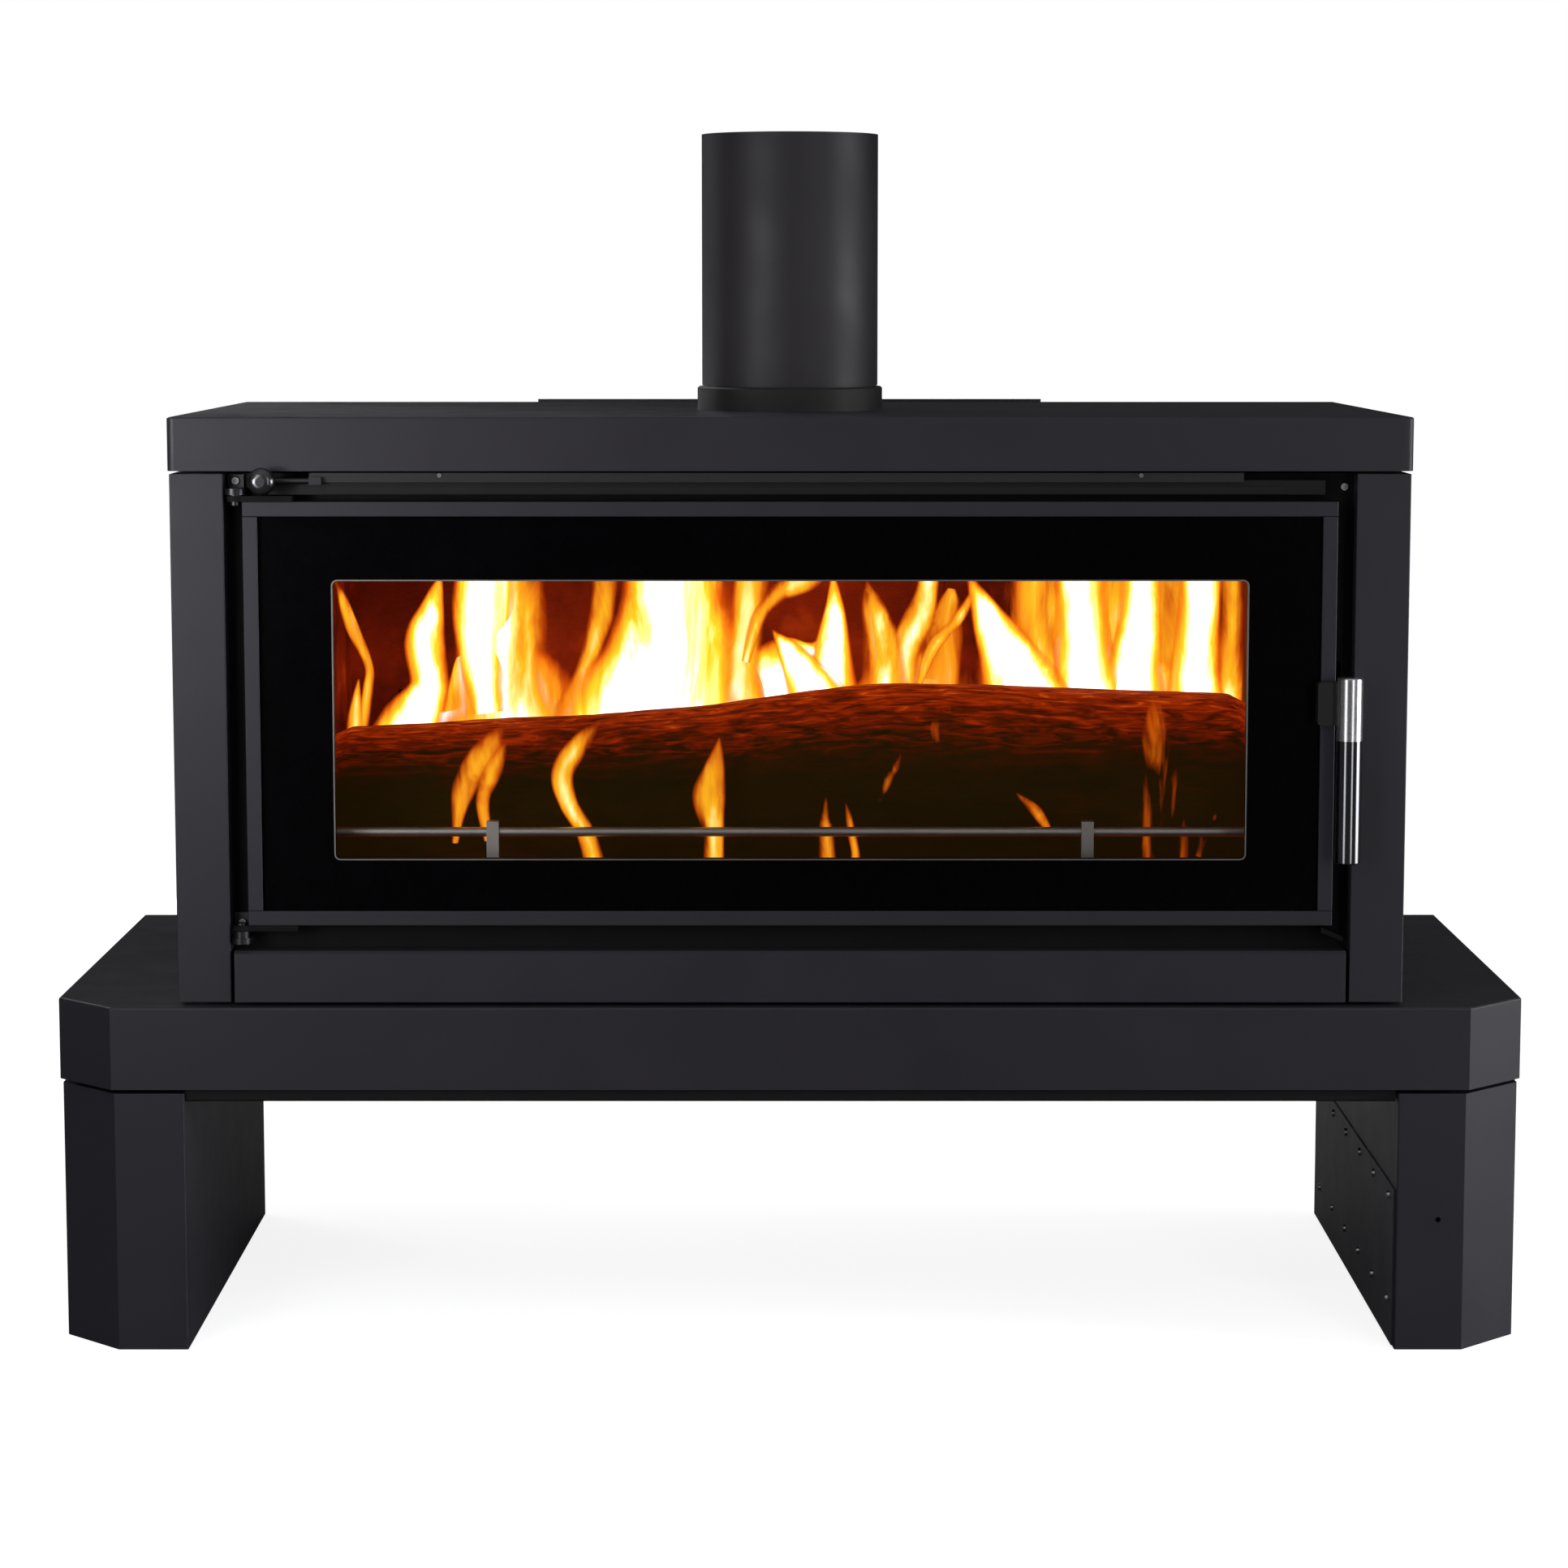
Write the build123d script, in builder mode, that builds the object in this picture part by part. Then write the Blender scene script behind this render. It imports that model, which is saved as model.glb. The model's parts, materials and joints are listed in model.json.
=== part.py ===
from build123d import *
import os
from math import atan2, cos, degrees, sqrt

# A wood burning stove on a steel bench, in millimetres.
# X runs to the right, Y to the back, Z up; the floor is Z = 0 and the stove faces -Y.

# Bench
BENCH_WIDTH = 1206.0
BENCH_DEPTH = 500.0
BENCH_TOP = 285.0
BENCH_LIP = 68.0
CORNER = 50.0  # the 45 degree front corners of the bench and legs
BENCH_SHEET = 3.0
LEG_INSET = 2.0
LEG_INNER = 494.0
LEG_GAP = 3.5
BENCH_FOLD_R = 2.0
LEG_FOLD_R = 1.5
UNDERSIDE_DROP = 11.0
COVER_TOP = 133.0
COVER_SHEET = 2.0
SERVICE_MARGIN = 45.0
SERVICE_Z = (52.0, 106.0)

# Stove body
STOVE_WIDTH = 1000.0
STOVE_TOP = 762.5
CAP_HEIGHT = 43.0
CAP_DEPTH = 485.0
CAP_SHEET = 3.0
CAP_CORNER_R = 6.0
CAP_EDGE_R = 1.5
CASE_HALF = 498.5
CASE_BOTTOM = 288.0
CASE_TOP = 717.0
CASE_BACK = 238.0
CASE_SHEET = 2.0
CASE_FOLD_R = 1.2
RECESS_HALF = 455.0  # half width of the recess that holds the door
STILE_SETBACK = 2.0
SHELF_TOP = 330.0

# Firebox
BOX_HALF = 422.0
BOX_BACK = 180.0
BOX_FLOOR = 335.0
BOX_ROOF = 700.0
PLATE = 5.0
BRICK = 22.0
BRICK_JOINT = 0.3
BAFFLE_Z = 640.0
OPENING_HALF = 392.0
OPENING_Z = (372.0, 674.0)
OPENING_R = 12.0
WASH_SLOTS = [((i - 2) * 150.0 - 60.0, (i - 2) * 150.0 + 60.0) for i in range(5)]
WASH_SLOT_Y = (-194.0, -176.0)
WASH_SLOT_Z = (706.0, 709.5)

# Door
DOOR_HALF = 440.0
DOOR_Z = (351.0, 695.0)
BAR = 12.0
BAR_DEPTH = 9.0
DOOR_DEPTH = 22.0
WINDOW_HALF = 370.0
WINDOW_Z = (404.0, 632.0)
WINDOW_R = 5.0
GLASS = 4.0
REBATE = 2.3
ROPE = 12.0
ROPE_INSET = 30.0
HINGE_X = -446.0
HINGE_PIN_R = 4.0
PIN_CLEARANCE = 0.06
ARM = 4.5

# Handle
PIVOT_X = 434.5
PIVOT_Z = 533.0
SPINDLE_R = 3.5
GRIP_X = 449.0
GRIP_R = 10.5
GRIP_Z = (405.0, 504.5)
HUB_TOP = 555.0

# Air control
SLIDE_X = (-386.0, 364.0)
SLIDE_Z = (710.5, 718.0)
CHANNEL_HALF = 430.0
CHANNEL_Z = (700.5, 712.0)
PORT_PITCH = 80.0
PORTS = 9
KNOB_X = -422.0
KNOB_Z = 711.7
KNOB_R = 11.0

# Flue
FLUE_R = 75.0
FLUE_WALL = 2.0
FLUE_TOP = 995.0
COLLAR_R = 79.0
COLLAR_HEIGHT = 20.0
NECK_R = 74.0  # the pipe is drawn in by 1 mm where the collar and the spigot hold it
SPIGOT_BORE = 69.0
FLANGE_BOLT_R = 87.0
FLANGE_HOLE_R = 4.2

# Planes shared by the parts
FRONT_REACH = 22.0  # how far the handle stands out in front of the bench
BENCH_FRONT = -(BENCH_DEPTH + FRONT_REACH) / 2 + FRONT_REACH
BENCH_BACK = BENCH_FRONT + BENCH_DEPTH
LIP_BOTTOM = BENCH_TOP - BENCH_LIP
UNDER_TOP = BENCH_TOP - BENCH_SHEET
UNDERSIDE_Z = LIP_BOTTOM - UNDERSIDE_DROP
LEG_TOP = LIP_BOTTOM - LEG_GAP
LEG_OUTER = BENCH_WIDTH / 2 - LEG_INSET
LEG_FRONT = BENCH_FRONT + LEG_INSET
LEG_BACK = BENCH_BACK - LEG_INSET
FACE = BENCH_FRONT + 8.0  # cap, door and shelf share this front plane
STILE_FACE = FACE + STILE_SETBACK
DOOR_BACK = FACE + DOOR_DEPTH
FRAME_FACE = DOOR_BACK + 2.3
FRAME_BACK = FRAME_FACE + PLATE
CAP_BACK = FACE + CAP_DEPTH
CAP_BOTTOM = STOVE_TOP - CAP_HEIGHT
CASE_INNER = CASE_HALF - CASE_SHEET
BRICK_TOP = BOX_FLOOR + PLATE + BRICK
BRICK_INNER = BOX_HALF - PLATE - BRICK
BRICK_BACK = BOX_BACK - PLATE
PLINTH_HALF = 445.0
PLINTH_FRONT = -190.0
GRIP_Y = BENCH_FRONT - FRONT_REACH + GRIP_R
HINGE_Y = FACE + 4.0

UP = (Align.CENTER, Align.CENTER, Align.MIN)
DOWN = (Align.CENTER, Align.CENTER, Align.MAX)
FORWARD = (0, -1, 0)
BACKWARD = (0, 1, 0)


def facing(y):
    """A drawing plane at depth y that faces the front: extruding from it comes forward."""
    return Plane.XZ.offset(-y)


def block(x, y, z, mode=Mode.ADD):
    """A block from its (low, high) extent along each axis."""
    with Locations((x[0], y[0], z[0])):
        Box(x[1] - x[0], y[1] - y[0], z[1] - z[0], align=(Align.MIN,) * 3, mode=mode)


def across(side, near, far):
    """The low and high X of something between two distances from the middle, on one side."""
    return sorted((side * near, side * far))


def rectangle(x, y, radius=0.0, mode=Mode.ADD):
    """A rectangle from its extents in the drawing plane; a radius rounds its corners."""
    with Locations(((x[0] + x[1]) / 2, (y[0] + y[1]) / 2)):
        if radius:
            RectangleRounded(x[1] - x[0], y[1] - y[0], radius, mode=mode)
        else:
            Rectangle(x[1] - x[0], y[1] - y[0], mode=mode)


def door_ring(outer_inset, inner_inset):
    """The outline of a ring that follows the door's edge, between two insets from it."""
    for inset, mode in ((outer_inset, Mode.ADD), (inner_inset, Mode.SUBTRACT)):
        half = DOOR_HALF - inset
        rectangle((-half, half), (DOOR_Z[0] + inset, DOOR_Z[1] - inset), mode=mode)


def window_cut():
    """The clear window, taken out of the sketch in hand."""
    rectangle((-WINDOW_HALF, WINDOW_HALF), WINDOW_Z, WINDOW_R, Mode.SUBTRACT)


def bench_outline(inset):
    """The bench's plan, moved in from its edge by inset."""
    half = BENCH_WIDTH / 2 - inset
    front = BENCH_FRONT + inset
    back = BENCH_BACK - inset
    cut = CORNER - (2 - sqrt(2)) * inset
    Polygon(
        (-half + cut, front), (half - cut, front), (half, front + cut),
        (half, back), (-half, back), (-half, front + cut),
        align=None,
    )


def leg_outline(side, inner, inset):
    """A leg's plan on the given side (-1 left, 1 right), moved in from its edge by inset."""
    outer = LEG_OUTER - inset
    front = LEG_FRONT + inset
    back = LEG_BACK - inset
    cut = CORNER - (2 - sqrt(2)) * inset
    points = [
        (inner + inset, front), (outer - cut, front), (outer, front + cut),
        (outer, back), (inner + inset, back),
    ]
    turned = [(side * x, y) for x, y in points][::side]
    Polygon(*turned, align=None)


def screws(points, outward, shank=2.0, length=8.0):
    """Socket screws with tapered heads: each head stands outward from its point."""
    head = shank * 1.1
    for point in points:
        seat = Plane(origin=point, z_dir=outward)
        with Locations(seat):
            Cone(shank * 1.8, shank * 1.45, head, align=UP)
            Cylinder(shank, length, align=DOWN)
        with Locations(seat.offset(head)):
            Cylinder(shank * 0.75, head * 0.6, align=DOWN, mode=Mode.SUBTRACT)


def screw_holes(points, axis, radius=2.2, depth=12.0):
    """Clearance holes along an axis, centred on the points."""
    turn = {"X": (0, 90, 0), "Y": (90, 0, 0), "Z": (0, 0, 0)}[axis]
    with Locations(*points):
        Cylinder(radius, depth, rotation=turn, mode=Mode.SUBTRACT)


def save(sub_part, name):
    """Label a finished sub-part and write its STEP file."""
    sub_part.part.label = name
    export_step(sub_part.part, f"parts/{name}.step")


os.makedirs("parts", exist_ok=True)

# ---------------------------------------------------------------- bench

# Folded steel slab: a top plate with deep turned-down lips, open below
with BuildPart() as bench_top:
    with BuildSketch(Plane.XY.offset(LIP_BOTTOM)):
        bench_outline(0.0)
    extrude(amount=BENCH_LIP)
    fillet(bench_top.faces().sort_by(Axis.Z)[-1].edges(), BENCH_FOLD_R)
    with BuildSketch(Plane.XY.offset(LIP_BOTTOM)):
        bench_outline(BENCH_SHEET)
    extrude(amount=BENCH_LIP - BENCH_SHEET, mode=Mode.SUBTRACT)
save(bench_top, "bench_top")

# Shallow pan that closes the slab from below, between the legs
PAN_X = (-LEG_INNER, LEG_INNER)
PAN_Y = (BENCH_FRONT + 7.0, BENCH_BACK - 6.0)
with BuildPart() as bench_underside:
    block(PAN_X, PAN_Y, (UNDERSIDE_Z, UNDER_TOP))
    fillet(bench_underside.edges().filter_by(Axis.X).sort_by(Axis.Z)[:2], BENCH_FOLD_R)
    block(
        (PAN_X[0] + BENCH_SHEET, PAN_X[1] - BENCH_SHEET),
        (PAN_Y[0] + BENCH_SHEET, PAN_Y[1] - BENCH_SHEET),
        (UNDERSIDE_Z + BENCH_SHEET, UNDER_TOP),
        Mode.SUBTRACT,
    )
save(bench_underside, "bench_underside")

# Three box sections that carry the stove's weight across the pan
STIFFENER_HALF = 30.0
STIFFENER_WALL = 2.5
with BuildPart() as bench_stiffeners:
    for x in (-260.0, 0.0, 260.0):
        with BuildSketch(facing(PAN_Y[1] - BENCH_SHEET)):
            rectangle((x - STIFFENER_HALF, x + STIFFENER_HALF), (UNDERSIDE_Z + BENCH_SHEET, UNDER_TOP))
            rectangle(
                (x - STIFFENER_HALF + STIFFENER_WALL, x + STIFFENER_HALF - STIFFENER_WALL),
                (UNDERSIDE_Z + BENCH_SHEET + STIFFENER_WALL, UNDER_TOP - STIFFENER_WALL),
                mode=Mode.SUBTRACT,
            )
        extrude(amount=PAN_Y[1] - PAN_Y[0] - 2 * BENCH_SHEET)
save(bench_stiffeners, "bench_stiffeners")

# Spacer frames between the leg tops and the underside of the slab
RISER_X = (LEG_INNER + 3.0, 590.0)
RISER_Y = (-185.0, 245.0)
with BuildPart() as leg_risers:
    for side in (-1, 1):
        with BuildSketch(Plane.XY.offset(LEG_TOP)):
            for inset, mode in ((0.0, Mode.ADD), (BENCH_SHEET, Mode.SUBTRACT)):
                ends = across(side, RISER_X[0] + inset, RISER_X[1] - inset)
                rectangle(ends, (RISER_Y[0] + inset, RISER_Y[1] - inset), mode=mode)
        extrude(amount=UNDER_TOP - LEG_TOP)
save(leg_risers, "leg_risers")


# The right leg's inner wall is set back behind a screwed cover over a service opening
COVER_Y = (LEG_FRONT + 6.0, LEG_BACK - 6.0)
COVER_ROWS = (36.0, COVER_TOP - 10.0)
COVER_SCREW_START = LEG_FRONT + 31.0
COVER_SCREW_PITCH = 84.0
COVER_SCREWS = [
    (LEG_INNER, COVER_SCREW_START + COVER_SCREW_PITCH * i, z) for z in COVER_ROWS for i in range(6)
]
FRONT_HOLE = (530.0, LEG_FRONT, 108.7)
FLOOR_FLANGE = 20.0
for name, side, inner in (("left_leg", -1, LEG_INNER), ("right_leg", 1, LEG_INNER + COVER_SHEET)):
    with BuildPart() as leg:
        with BuildSketch(Plane.XY):
            leg_outline(side, inner, 0.0)
        extrude(amount=LEG_TOP)
        fillet(leg.edges().filter_by(Axis.Z).group_by(Axis.Y)[0], LEG_FOLD_R)
        with BuildSketch(Plane.XY.offset(BENCH_SHEET)):
            leg_outline(side, inner, BENCH_SHEET)
        extrude(amount=LEG_TOP - 2 * BENCH_SHEET, mode=Mode.SUBTRACT)
        with BuildSketch(Plane.XY):
            leg_outline(side, inner, FLOOR_FLANGE)
        extrude(amount=BENCH_SHEET, mode=Mode.SUBTRACT)
        if side == 1:
            block(
                (LEG_INNER, LEG_INNER + 2 * BENCH_SHEET),
                (LEG_FRONT + SERVICE_MARGIN, LEG_BACK - SERVICE_MARGIN),
                SERVICE_Z,
                Mode.SUBTRACT,
            )
            screw_holes(COVER_SCREWS, "X")
            screw_holes([FRONT_HOLE], "Y")
    save(leg, name)

with BuildPart() as right_leg_cover:
    block((LEG_INNER, LEG_INNER + COVER_SHEET), COVER_Y, (2.0, COVER_TOP))
    screw_holes(COVER_SCREWS, "X")
save(right_leg_cover, "right_leg_cover")

# ---------------------------------------------------------------- casing

# Hidden frame that lifts the firebox off the bench
with BuildPart() as plinth:
    with BuildSketch(Plane.XY.offset(BENCH_TOP)):
        rectangle((-PLINTH_HALF, PLINTH_HALF), (PLINTH_FRONT, CASE_BACK - CASE_SHEET))
        rectangle(
            (-PLINTH_HALF + BENCH_SHEET, PLINTH_HALF - BENCH_SHEET),
            (PLINTH_FRONT + BENCH_SHEET, CASE_BACK - CASE_SHEET - BENCH_SHEET),
            mode=Mode.SUBTRACT,
        )
    extrude(amount=BOX_FLOOR - BENCH_TOP)
save(plinth, "plinth")


# Folded side panels: outer wall, front stile, and the return that lines the door recess
for name, side in (("left_side_panel", -1), ("right_side_panel", 1)):
    with BuildPart() as panel:
        with BuildSketch(Plane.XY.offset(CASE_BOTTOM)):
            rectangle(across(side, CASE_INNER, CASE_HALF), (STILE_FACE, CASE_BACK - CASE_SHEET))
            rectangle(across(side, RECESS_HALF, CASE_HALF), (STILE_FACE, STILE_FACE + CASE_SHEET))
            rectangle(across(side, RECESS_HALF, RECESS_HALF + CASE_SHEET), (STILE_FACE, FRAME_BACK))
        extrude(amount=CASE_TOP - CASE_BOTTOM)
        fillet(panel.edges().filter_by(Axis.Z).group_by(Axis.Y)[0], CASE_FOLD_R)
        block(
            across(side, PLINTH_HALF, CASE_INNER), (PLINTH_FRONT, CASE_BACK - CASE_SHEET),
            (CASE_BOTTOM, CASE_BOTTOM + CASE_SHEET),
        )
        block(
            across(side, RECESS_HALF, CASE_INNER), (FRAME_BACK, CASE_BACK - CASE_SHEET),
            (CASE_TOP - CASE_SHEET, CASE_TOP),
        )
    save(panel, name)

# Rear casing with two rows of convection slots
SHIELD_HALF = 231.0
SHIELD_Z = (320.0, STOVE_TOP + 2.5)
SHIELD_HOLE_R = 3.0
SHIELD_Y = (CAP_BACK + 1.0, CAP_BACK + 2.5)
SHIELD_FIXINGS = [(x, z) for x in (-200.0, 200.0) for z in (400.0, 690.0)]
SLOT = (42.0, 7.0)
with BuildPart() as rear_panel:
    with BuildSketch(facing(CASE_BACK)):
        rectangle((-CASE_HALF, CASE_HALF), (CASE_BOTTOM, CASE_TOP))
        for z in (330.0, 645.0):
            with Locations((0, z)):
                with GridLocations(68.0, 20.0, 12, 2):
                    SlotOverall(*SLOT, mode=Mode.SUBTRACT)
    extrude(amount=CASE_SHEET)
save(rear_panel, "rear_panel")

# Heat shield hung off the rear casing; its top edge stands just above the cap
with BuildPart() as rear_heat_shield:
    block((-SHIELD_HALF, SHIELD_HALF), SHIELD_Y, SHIELD_Z)
    screw_holes([(x, SHIELD_Y[0], z) for x, z in SHIELD_FIXINGS], "Y", SHIELD_HOLE_R)
save(rear_heat_shield, "rear_heat_shield")

with BuildPart() as shield_spacers:
    for x, z in SHIELD_FIXINGS:
        with BuildSketch(facing(SHIELD_Y[0])):
            with Locations((x, z)):
                Circle(7.0)
                Circle(SHIELD_HOLE_R, mode=Mode.SUBTRACT)
        extrude(amount=SHIELD_Y[0] - CASE_BACK)
save(shield_spacers, "shield_spacers")

# Folded top cap with rounded front corners and a hole for the flue
with BuildPart() as top_cap:
    block((-STOVE_WIDTH / 2, STOVE_WIDTH / 2), (FACE, CAP_BACK), (CAP_BOTTOM, STOVE_TOP))
    fillet(top_cap.edges().filter_by(Axis.Z).group_by(Axis.Y)[0], CAP_CORNER_R)
    fillet(top_cap.faces().sort_by(Axis.Z)[-1].edges(), CAP_EDGE_R)
    block(
        (-STOVE_WIDTH / 2 + CAP_SHEET, STOVE_WIDTH / 2 - CAP_SHEET),
        (FACE + CAP_SHEET, CAP_BACK - CAP_SHEET),
        (CAP_BOTTOM, STOVE_TOP - CAP_SHEET),
        Mode.SUBTRACT,
    )
    screw_holes([(0, 0, STOVE_TOP)], "Z", FLUE_R + 1.0)
save(top_cap, "top_cap")

# Two box sections that carry the cap on the firebox roof
SUPPORT_X = (400.0, 420.0)
SUPPORT_BACK = 230.0
SUPPORT_LENGTH = 390.0
SUPPORT_WALL = 2.0
with BuildPart() as cap_supports:
    for side in (-1, 1):
        with BuildSketch(facing(SUPPORT_BACK)):
            for inset, mode in ((0.0, Mode.ADD), (SUPPORT_WALL, Mode.SUBTRACT)):
                ends = across(side, SUPPORT_X[0] + inset, SUPPORT_X[1] - inset)
                rise = (BOX_ROOF + PLATE + inset, STOVE_TOP - CAP_SHEET - inset)
                rectangle(ends, rise, mode=mode)
        extrude(amount=SUPPORT_LENGTH)
save(cap_supports, "cap_supports")

# Lower front panel with the ash shelf folded back from its bevelled top edge
SHELF_HALF = 452.0
SHELF_SHEET = 3.0
SHELF_BEVEL = 2.4
with BuildPart() as ash_shelf:
    block((-SHELF_HALF, SHELF_HALF), (FACE, FACE + SHELF_SHEET), (CASE_BOTTOM, SHELF_TOP))
    block((-SHELF_HALF, SHELF_HALF), (FACE, FRAME_FACE), (SHELF_TOP - SHELF_SHEET, SHELF_TOP))
    bevelled = ash_shelf.edges().filter_by(Axis.X).group_by(Axis.Z)[-1].sort_by(Axis.Y)[0]
    chamfer(bevelled, SHELF_BEVEL)
save(ash_shelf, "ash_shelf")

# ---------------------------------------------------------------- firebox

with BuildPart() as firebox_floor:
    block((-BOX_HALF, BOX_HALF), (FRAME_BACK, BOX_BACK), (BOX_FLOOR, BOX_FLOOR + PLATE))
save(firebox_floor, "firebox_floor")

with BuildPart() as firebox_side_walls:
    for side in (-1, 1):
        wall = across(side, BOX_HALF - PLATE, BOX_HALF)
        block(wall, (FRAME_BACK, BRICK_BACK), (BOX_FLOOR + PLATE, BOX_ROOF))
save(firebox_side_walls, "firebox_side_walls")

# A row of air holes runs through the back wall and the bricks in front of it
AIR_HOLE_PITCH = 70.0
AIR_HOLE_Z = 502.0
AIR_HOLES = [((i - 5) * AIR_HOLE_PITCH, BRICK_BACK, AIR_HOLE_Z) for i in range(11)]
PLATE_HOLE_R = 4.0
BRICK_HOLE_R = 5.0
with BuildPart() as firebox_back_wall:
    block((-BOX_HALF, BOX_HALF), (BRICK_BACK, BOX_BACK), (BOX_FLOOR + PLATE, BOX_ROOF))
    screw_holes(AIR_HOLES, "Y", PLATE_HOLE_R, 20.0)
save(firebox_back_wall, "firebox_back_wall")

# Roof plate with the flue hole and the slots that feed the airwash
with BuildPart() as firebox_roof:
    block((-BOX_HALF, BOX_HALF), (FRAME_BACK, BOX_BACK), (BOX_ROOF, BOX_ROOF + PLATE))
    screw_holes([(0, 0, BOX_ROOF)], "Z", SPIGOT_BORE)
    with Locations((0, 0, BOX_ROOF)):
        with PolarLocations(FLANGE_BOLT_R, 6):
            Cylinder(FLANGE_HOLE_R, 20.0, mode=Mode.SUBTRACT)
    for x in WASH_SLOTS:
        block(x, WASH_SLOT_Y, (BOX_ROOF, BOX_ROOF + PLATE), Mode.SUBTRACT)
save(firebox_roof, "firebox_roof")

# Screws that hold the hinge brackets, and a single one on the other side
BRACKET_SCREWS = [(-447.5, FRAME_FACE - 3.0, z) for z in (351.0, 711.0)]
FRAME_SCREW = (447.5, FRAME_FACE, 706.0)

# Front frame: the door closes on it; it has the fire opening, latch window and air slots
LATCH_WINDOW = ((423.5, 447.0), (503.0, 565.0))
with BuildPart() as firebox_front_frame:
    with BuildSketch(facing(FRAME_BACK)):
        rectangle((-RECESS_HALF, RECESS_HALF), (SHELF_TOP - 18.0, CASE_TOP))
        rectangle((-OPENING_HALF, OPENING_HALF), OPENING_Z, OPENING_R, Mode.SUBTRACT)
        rectangle(*LATCH_WINDOW, 3.0, Mode.SUBTRACT)
        for x in WASH_SLOTS:
            rectangle(x, WASH_SLOT_Z, mode=Mode.SUBTRACT)
    extrude(amount=PLATE)
    screw_holes(BRACKET_SCREWS + [FRAME_SCREW], "Y", 2.2, 30.0)
save(firebox_front_frame, "firebox_front_frame")

# Three floor bricks side by side, and three more stood against the back wall
BRICK_BEVEL = 1.5
BRICK_WIDTH = 2 * (BOX_HALF - PLATE) / 3
BRICKS_X = [
    (i * BRICK_WIDTH + PLATE - BOX_HALF + BRICK_JOINT, (i + 1) * BRICK_WIDTH + PLATE - BOX_HALF - BRICK_JOINT)
    for i in range(3)
]
with BuildPart() as floor_bricks:
    for x in BRICKS_X:
        block(x, (FRAME_BACK, BRICK_BACK), (BOX_FLOOR + PLATE, BRICK_TOP))
    chamfer(floor_bricks.faces().group_by(Axis.Z)[-1].edges(), BRICK_BEVEL)
save(floor_bricks, "floor_bricks")

with BuildPart() as side_bricks:
    for side in (-1, 1):
        brick = across(side, BRICK_INNER, BOX_HALF - PLATE)
        block(brick, (FRAME_BACK, BRICK_BACK - BRICK), (BRICK_TOP, BAFFLE_Z))
save(side_bricks, "side_bricks")

REAR_BRICK_TOP = BAFFLE_Z + 15.0
with BuildPart() as rear_bricks:
    for x in BRICKS_X:
        block(x, (BRICK_BACK - BRICK, BRICK_BACK), (BRICK_TOP, REAR_BRICK_TOP))
    chamfer(rear_bricks.faces().group_by(Axis.Y)[0].edges(), BRICK_BEVEL)
    screw_holes(AIR_HOLES, "Y", BRICK_HOLE_R, 60.0)
save(rear_bricks, "rear_bricks")

# Plate that turns the flames forward before they reach the flue
BAFFLE_FRONT = -120.0
BAFFLE_SHEET = 12.0
with BuildPart() as baffle_plate:
    block(
        (PLATE - BOX_HALF, BOX_HALF - PLATE),
        (BAFFLE_FRONT, BRICK_BACK - BRICK),
        (BAFFLE_Z, BAFFLE_Z + BAFFLE_SHEET),
    )
save(baffle_plate, "baffle_plate")

# Folded duct on the roof that leads air from the front frame to the roof slots
DUCT_SHEET = 2.0
WASH_DUCT_HALF = 395.0
WASH_DUCT_BACK = -165.0
WASH_DUCT_TOP = 735.0
with BuildPart() as airwash_duct:
    for inset, mode in ((0.0, Mode.ADD), (DUCT_SHEET, Mode.SUBTRACT)):
        half = WASH_DUCT_HALF - inset
        rise = (BOX_ROOF + PLATE, WASH_DUCT_TOP - inset)
        block((-half, half), (FRAME_BACK, WASH_DUCT_BACK - inset), rise, mode)
save(airwash_duct, "airwash_duct")

# Plate under the roof slots that turns the air down over the glass
DEFLECTOR_HALF = 388.0
DEFLECTOR_BACK = -165.0
DEFLECTOR_SHEET = 3.0
DEFLECTOR_LIP = (-184.0, 662.0)  # front and bottom of its turned-in lip
with BuildPart() as airwash_deflector:
    block(
        (-DEFLECTOR_HALF, DEFLECTOR_HALF),
        (DEFLECTOR_BACK - DEFLECTOR_SHEET, DEFLECTOR_BACK),
        (DEFLECTOR_LIP[1] + DUCT_SHEET, BOX_ROOF),
    )
    block(
        (-DEFLECTOR_HALF, DEFLECTOR_HALF),
        (DEFLECTOR_LIP[0], DEFLECTOR_BACK),
        (DEFLECTOR_LIP[1], DEFLECTOR_LIP[1] + DUCT_SHEET),
    )
save(airwash_deflector, "airwash_deflector")

# Folded duct behind the back wall that feeds its row of air holes, with inlets underneath
REAR_DUCT_HALF = 400.0
REAR_DUCT_BACK = 206.0
REAR_DUCT_Z = (462.0, 542.0)
INLET_PITCH = 190.0
INLET_HALF = 50.0
INLET_Y = (186.0, 198.0)
with BuildPart() as secondary_air_duct:
    for inset, mode in ((0.0, Mode.ADD), (DUCT_SHEET, Mode.SUBTRACT)):
        half = REAR_DUCT_HALF - inset
        rise = (REAR_DUCT_Z[0] + inset, REAR_DUCT_Z[1] - inset)
        block((-half, half), (BOX_BACK, REAR_DUCT_BACK - inset), rise, mode)
    for i in range(4):
        middle = (i - 1.5) * INLET_PITCH
        block(
            (middle - INLET_HALF, middle + INLET_HALF), INLET_Y,
            (REAR_DUCT_Z[0], REAR_DUCT_Z[0] + DUCT_SHEET), Mode.SUBTRACT,
        )
save(secondary_air_duct, "secondary_air_duct")

# Bar and two posts that keep the logs off the glass
BAR_Y = -185.0
BAR_Z = 422.0
BAR_R = 4.0
POST_X = (-244.0, 244.0)
POST_TOP = 431.0
FOOT_SHEET = 3.0
with BuildPart() as log_retainer_bar:
    with Locations((0, BAR_Y, BAR_Z)):
        Cylinder(BAR_R, 2 * BRICK_INNER - 2.0, rotation=(0, 90, 0))
    chamfer(log_retainer_bar.edges().filter_by(GeomType.CIRCLE), 0.6)
save(log_retainer_bar, "log_retainer_bar")

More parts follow.
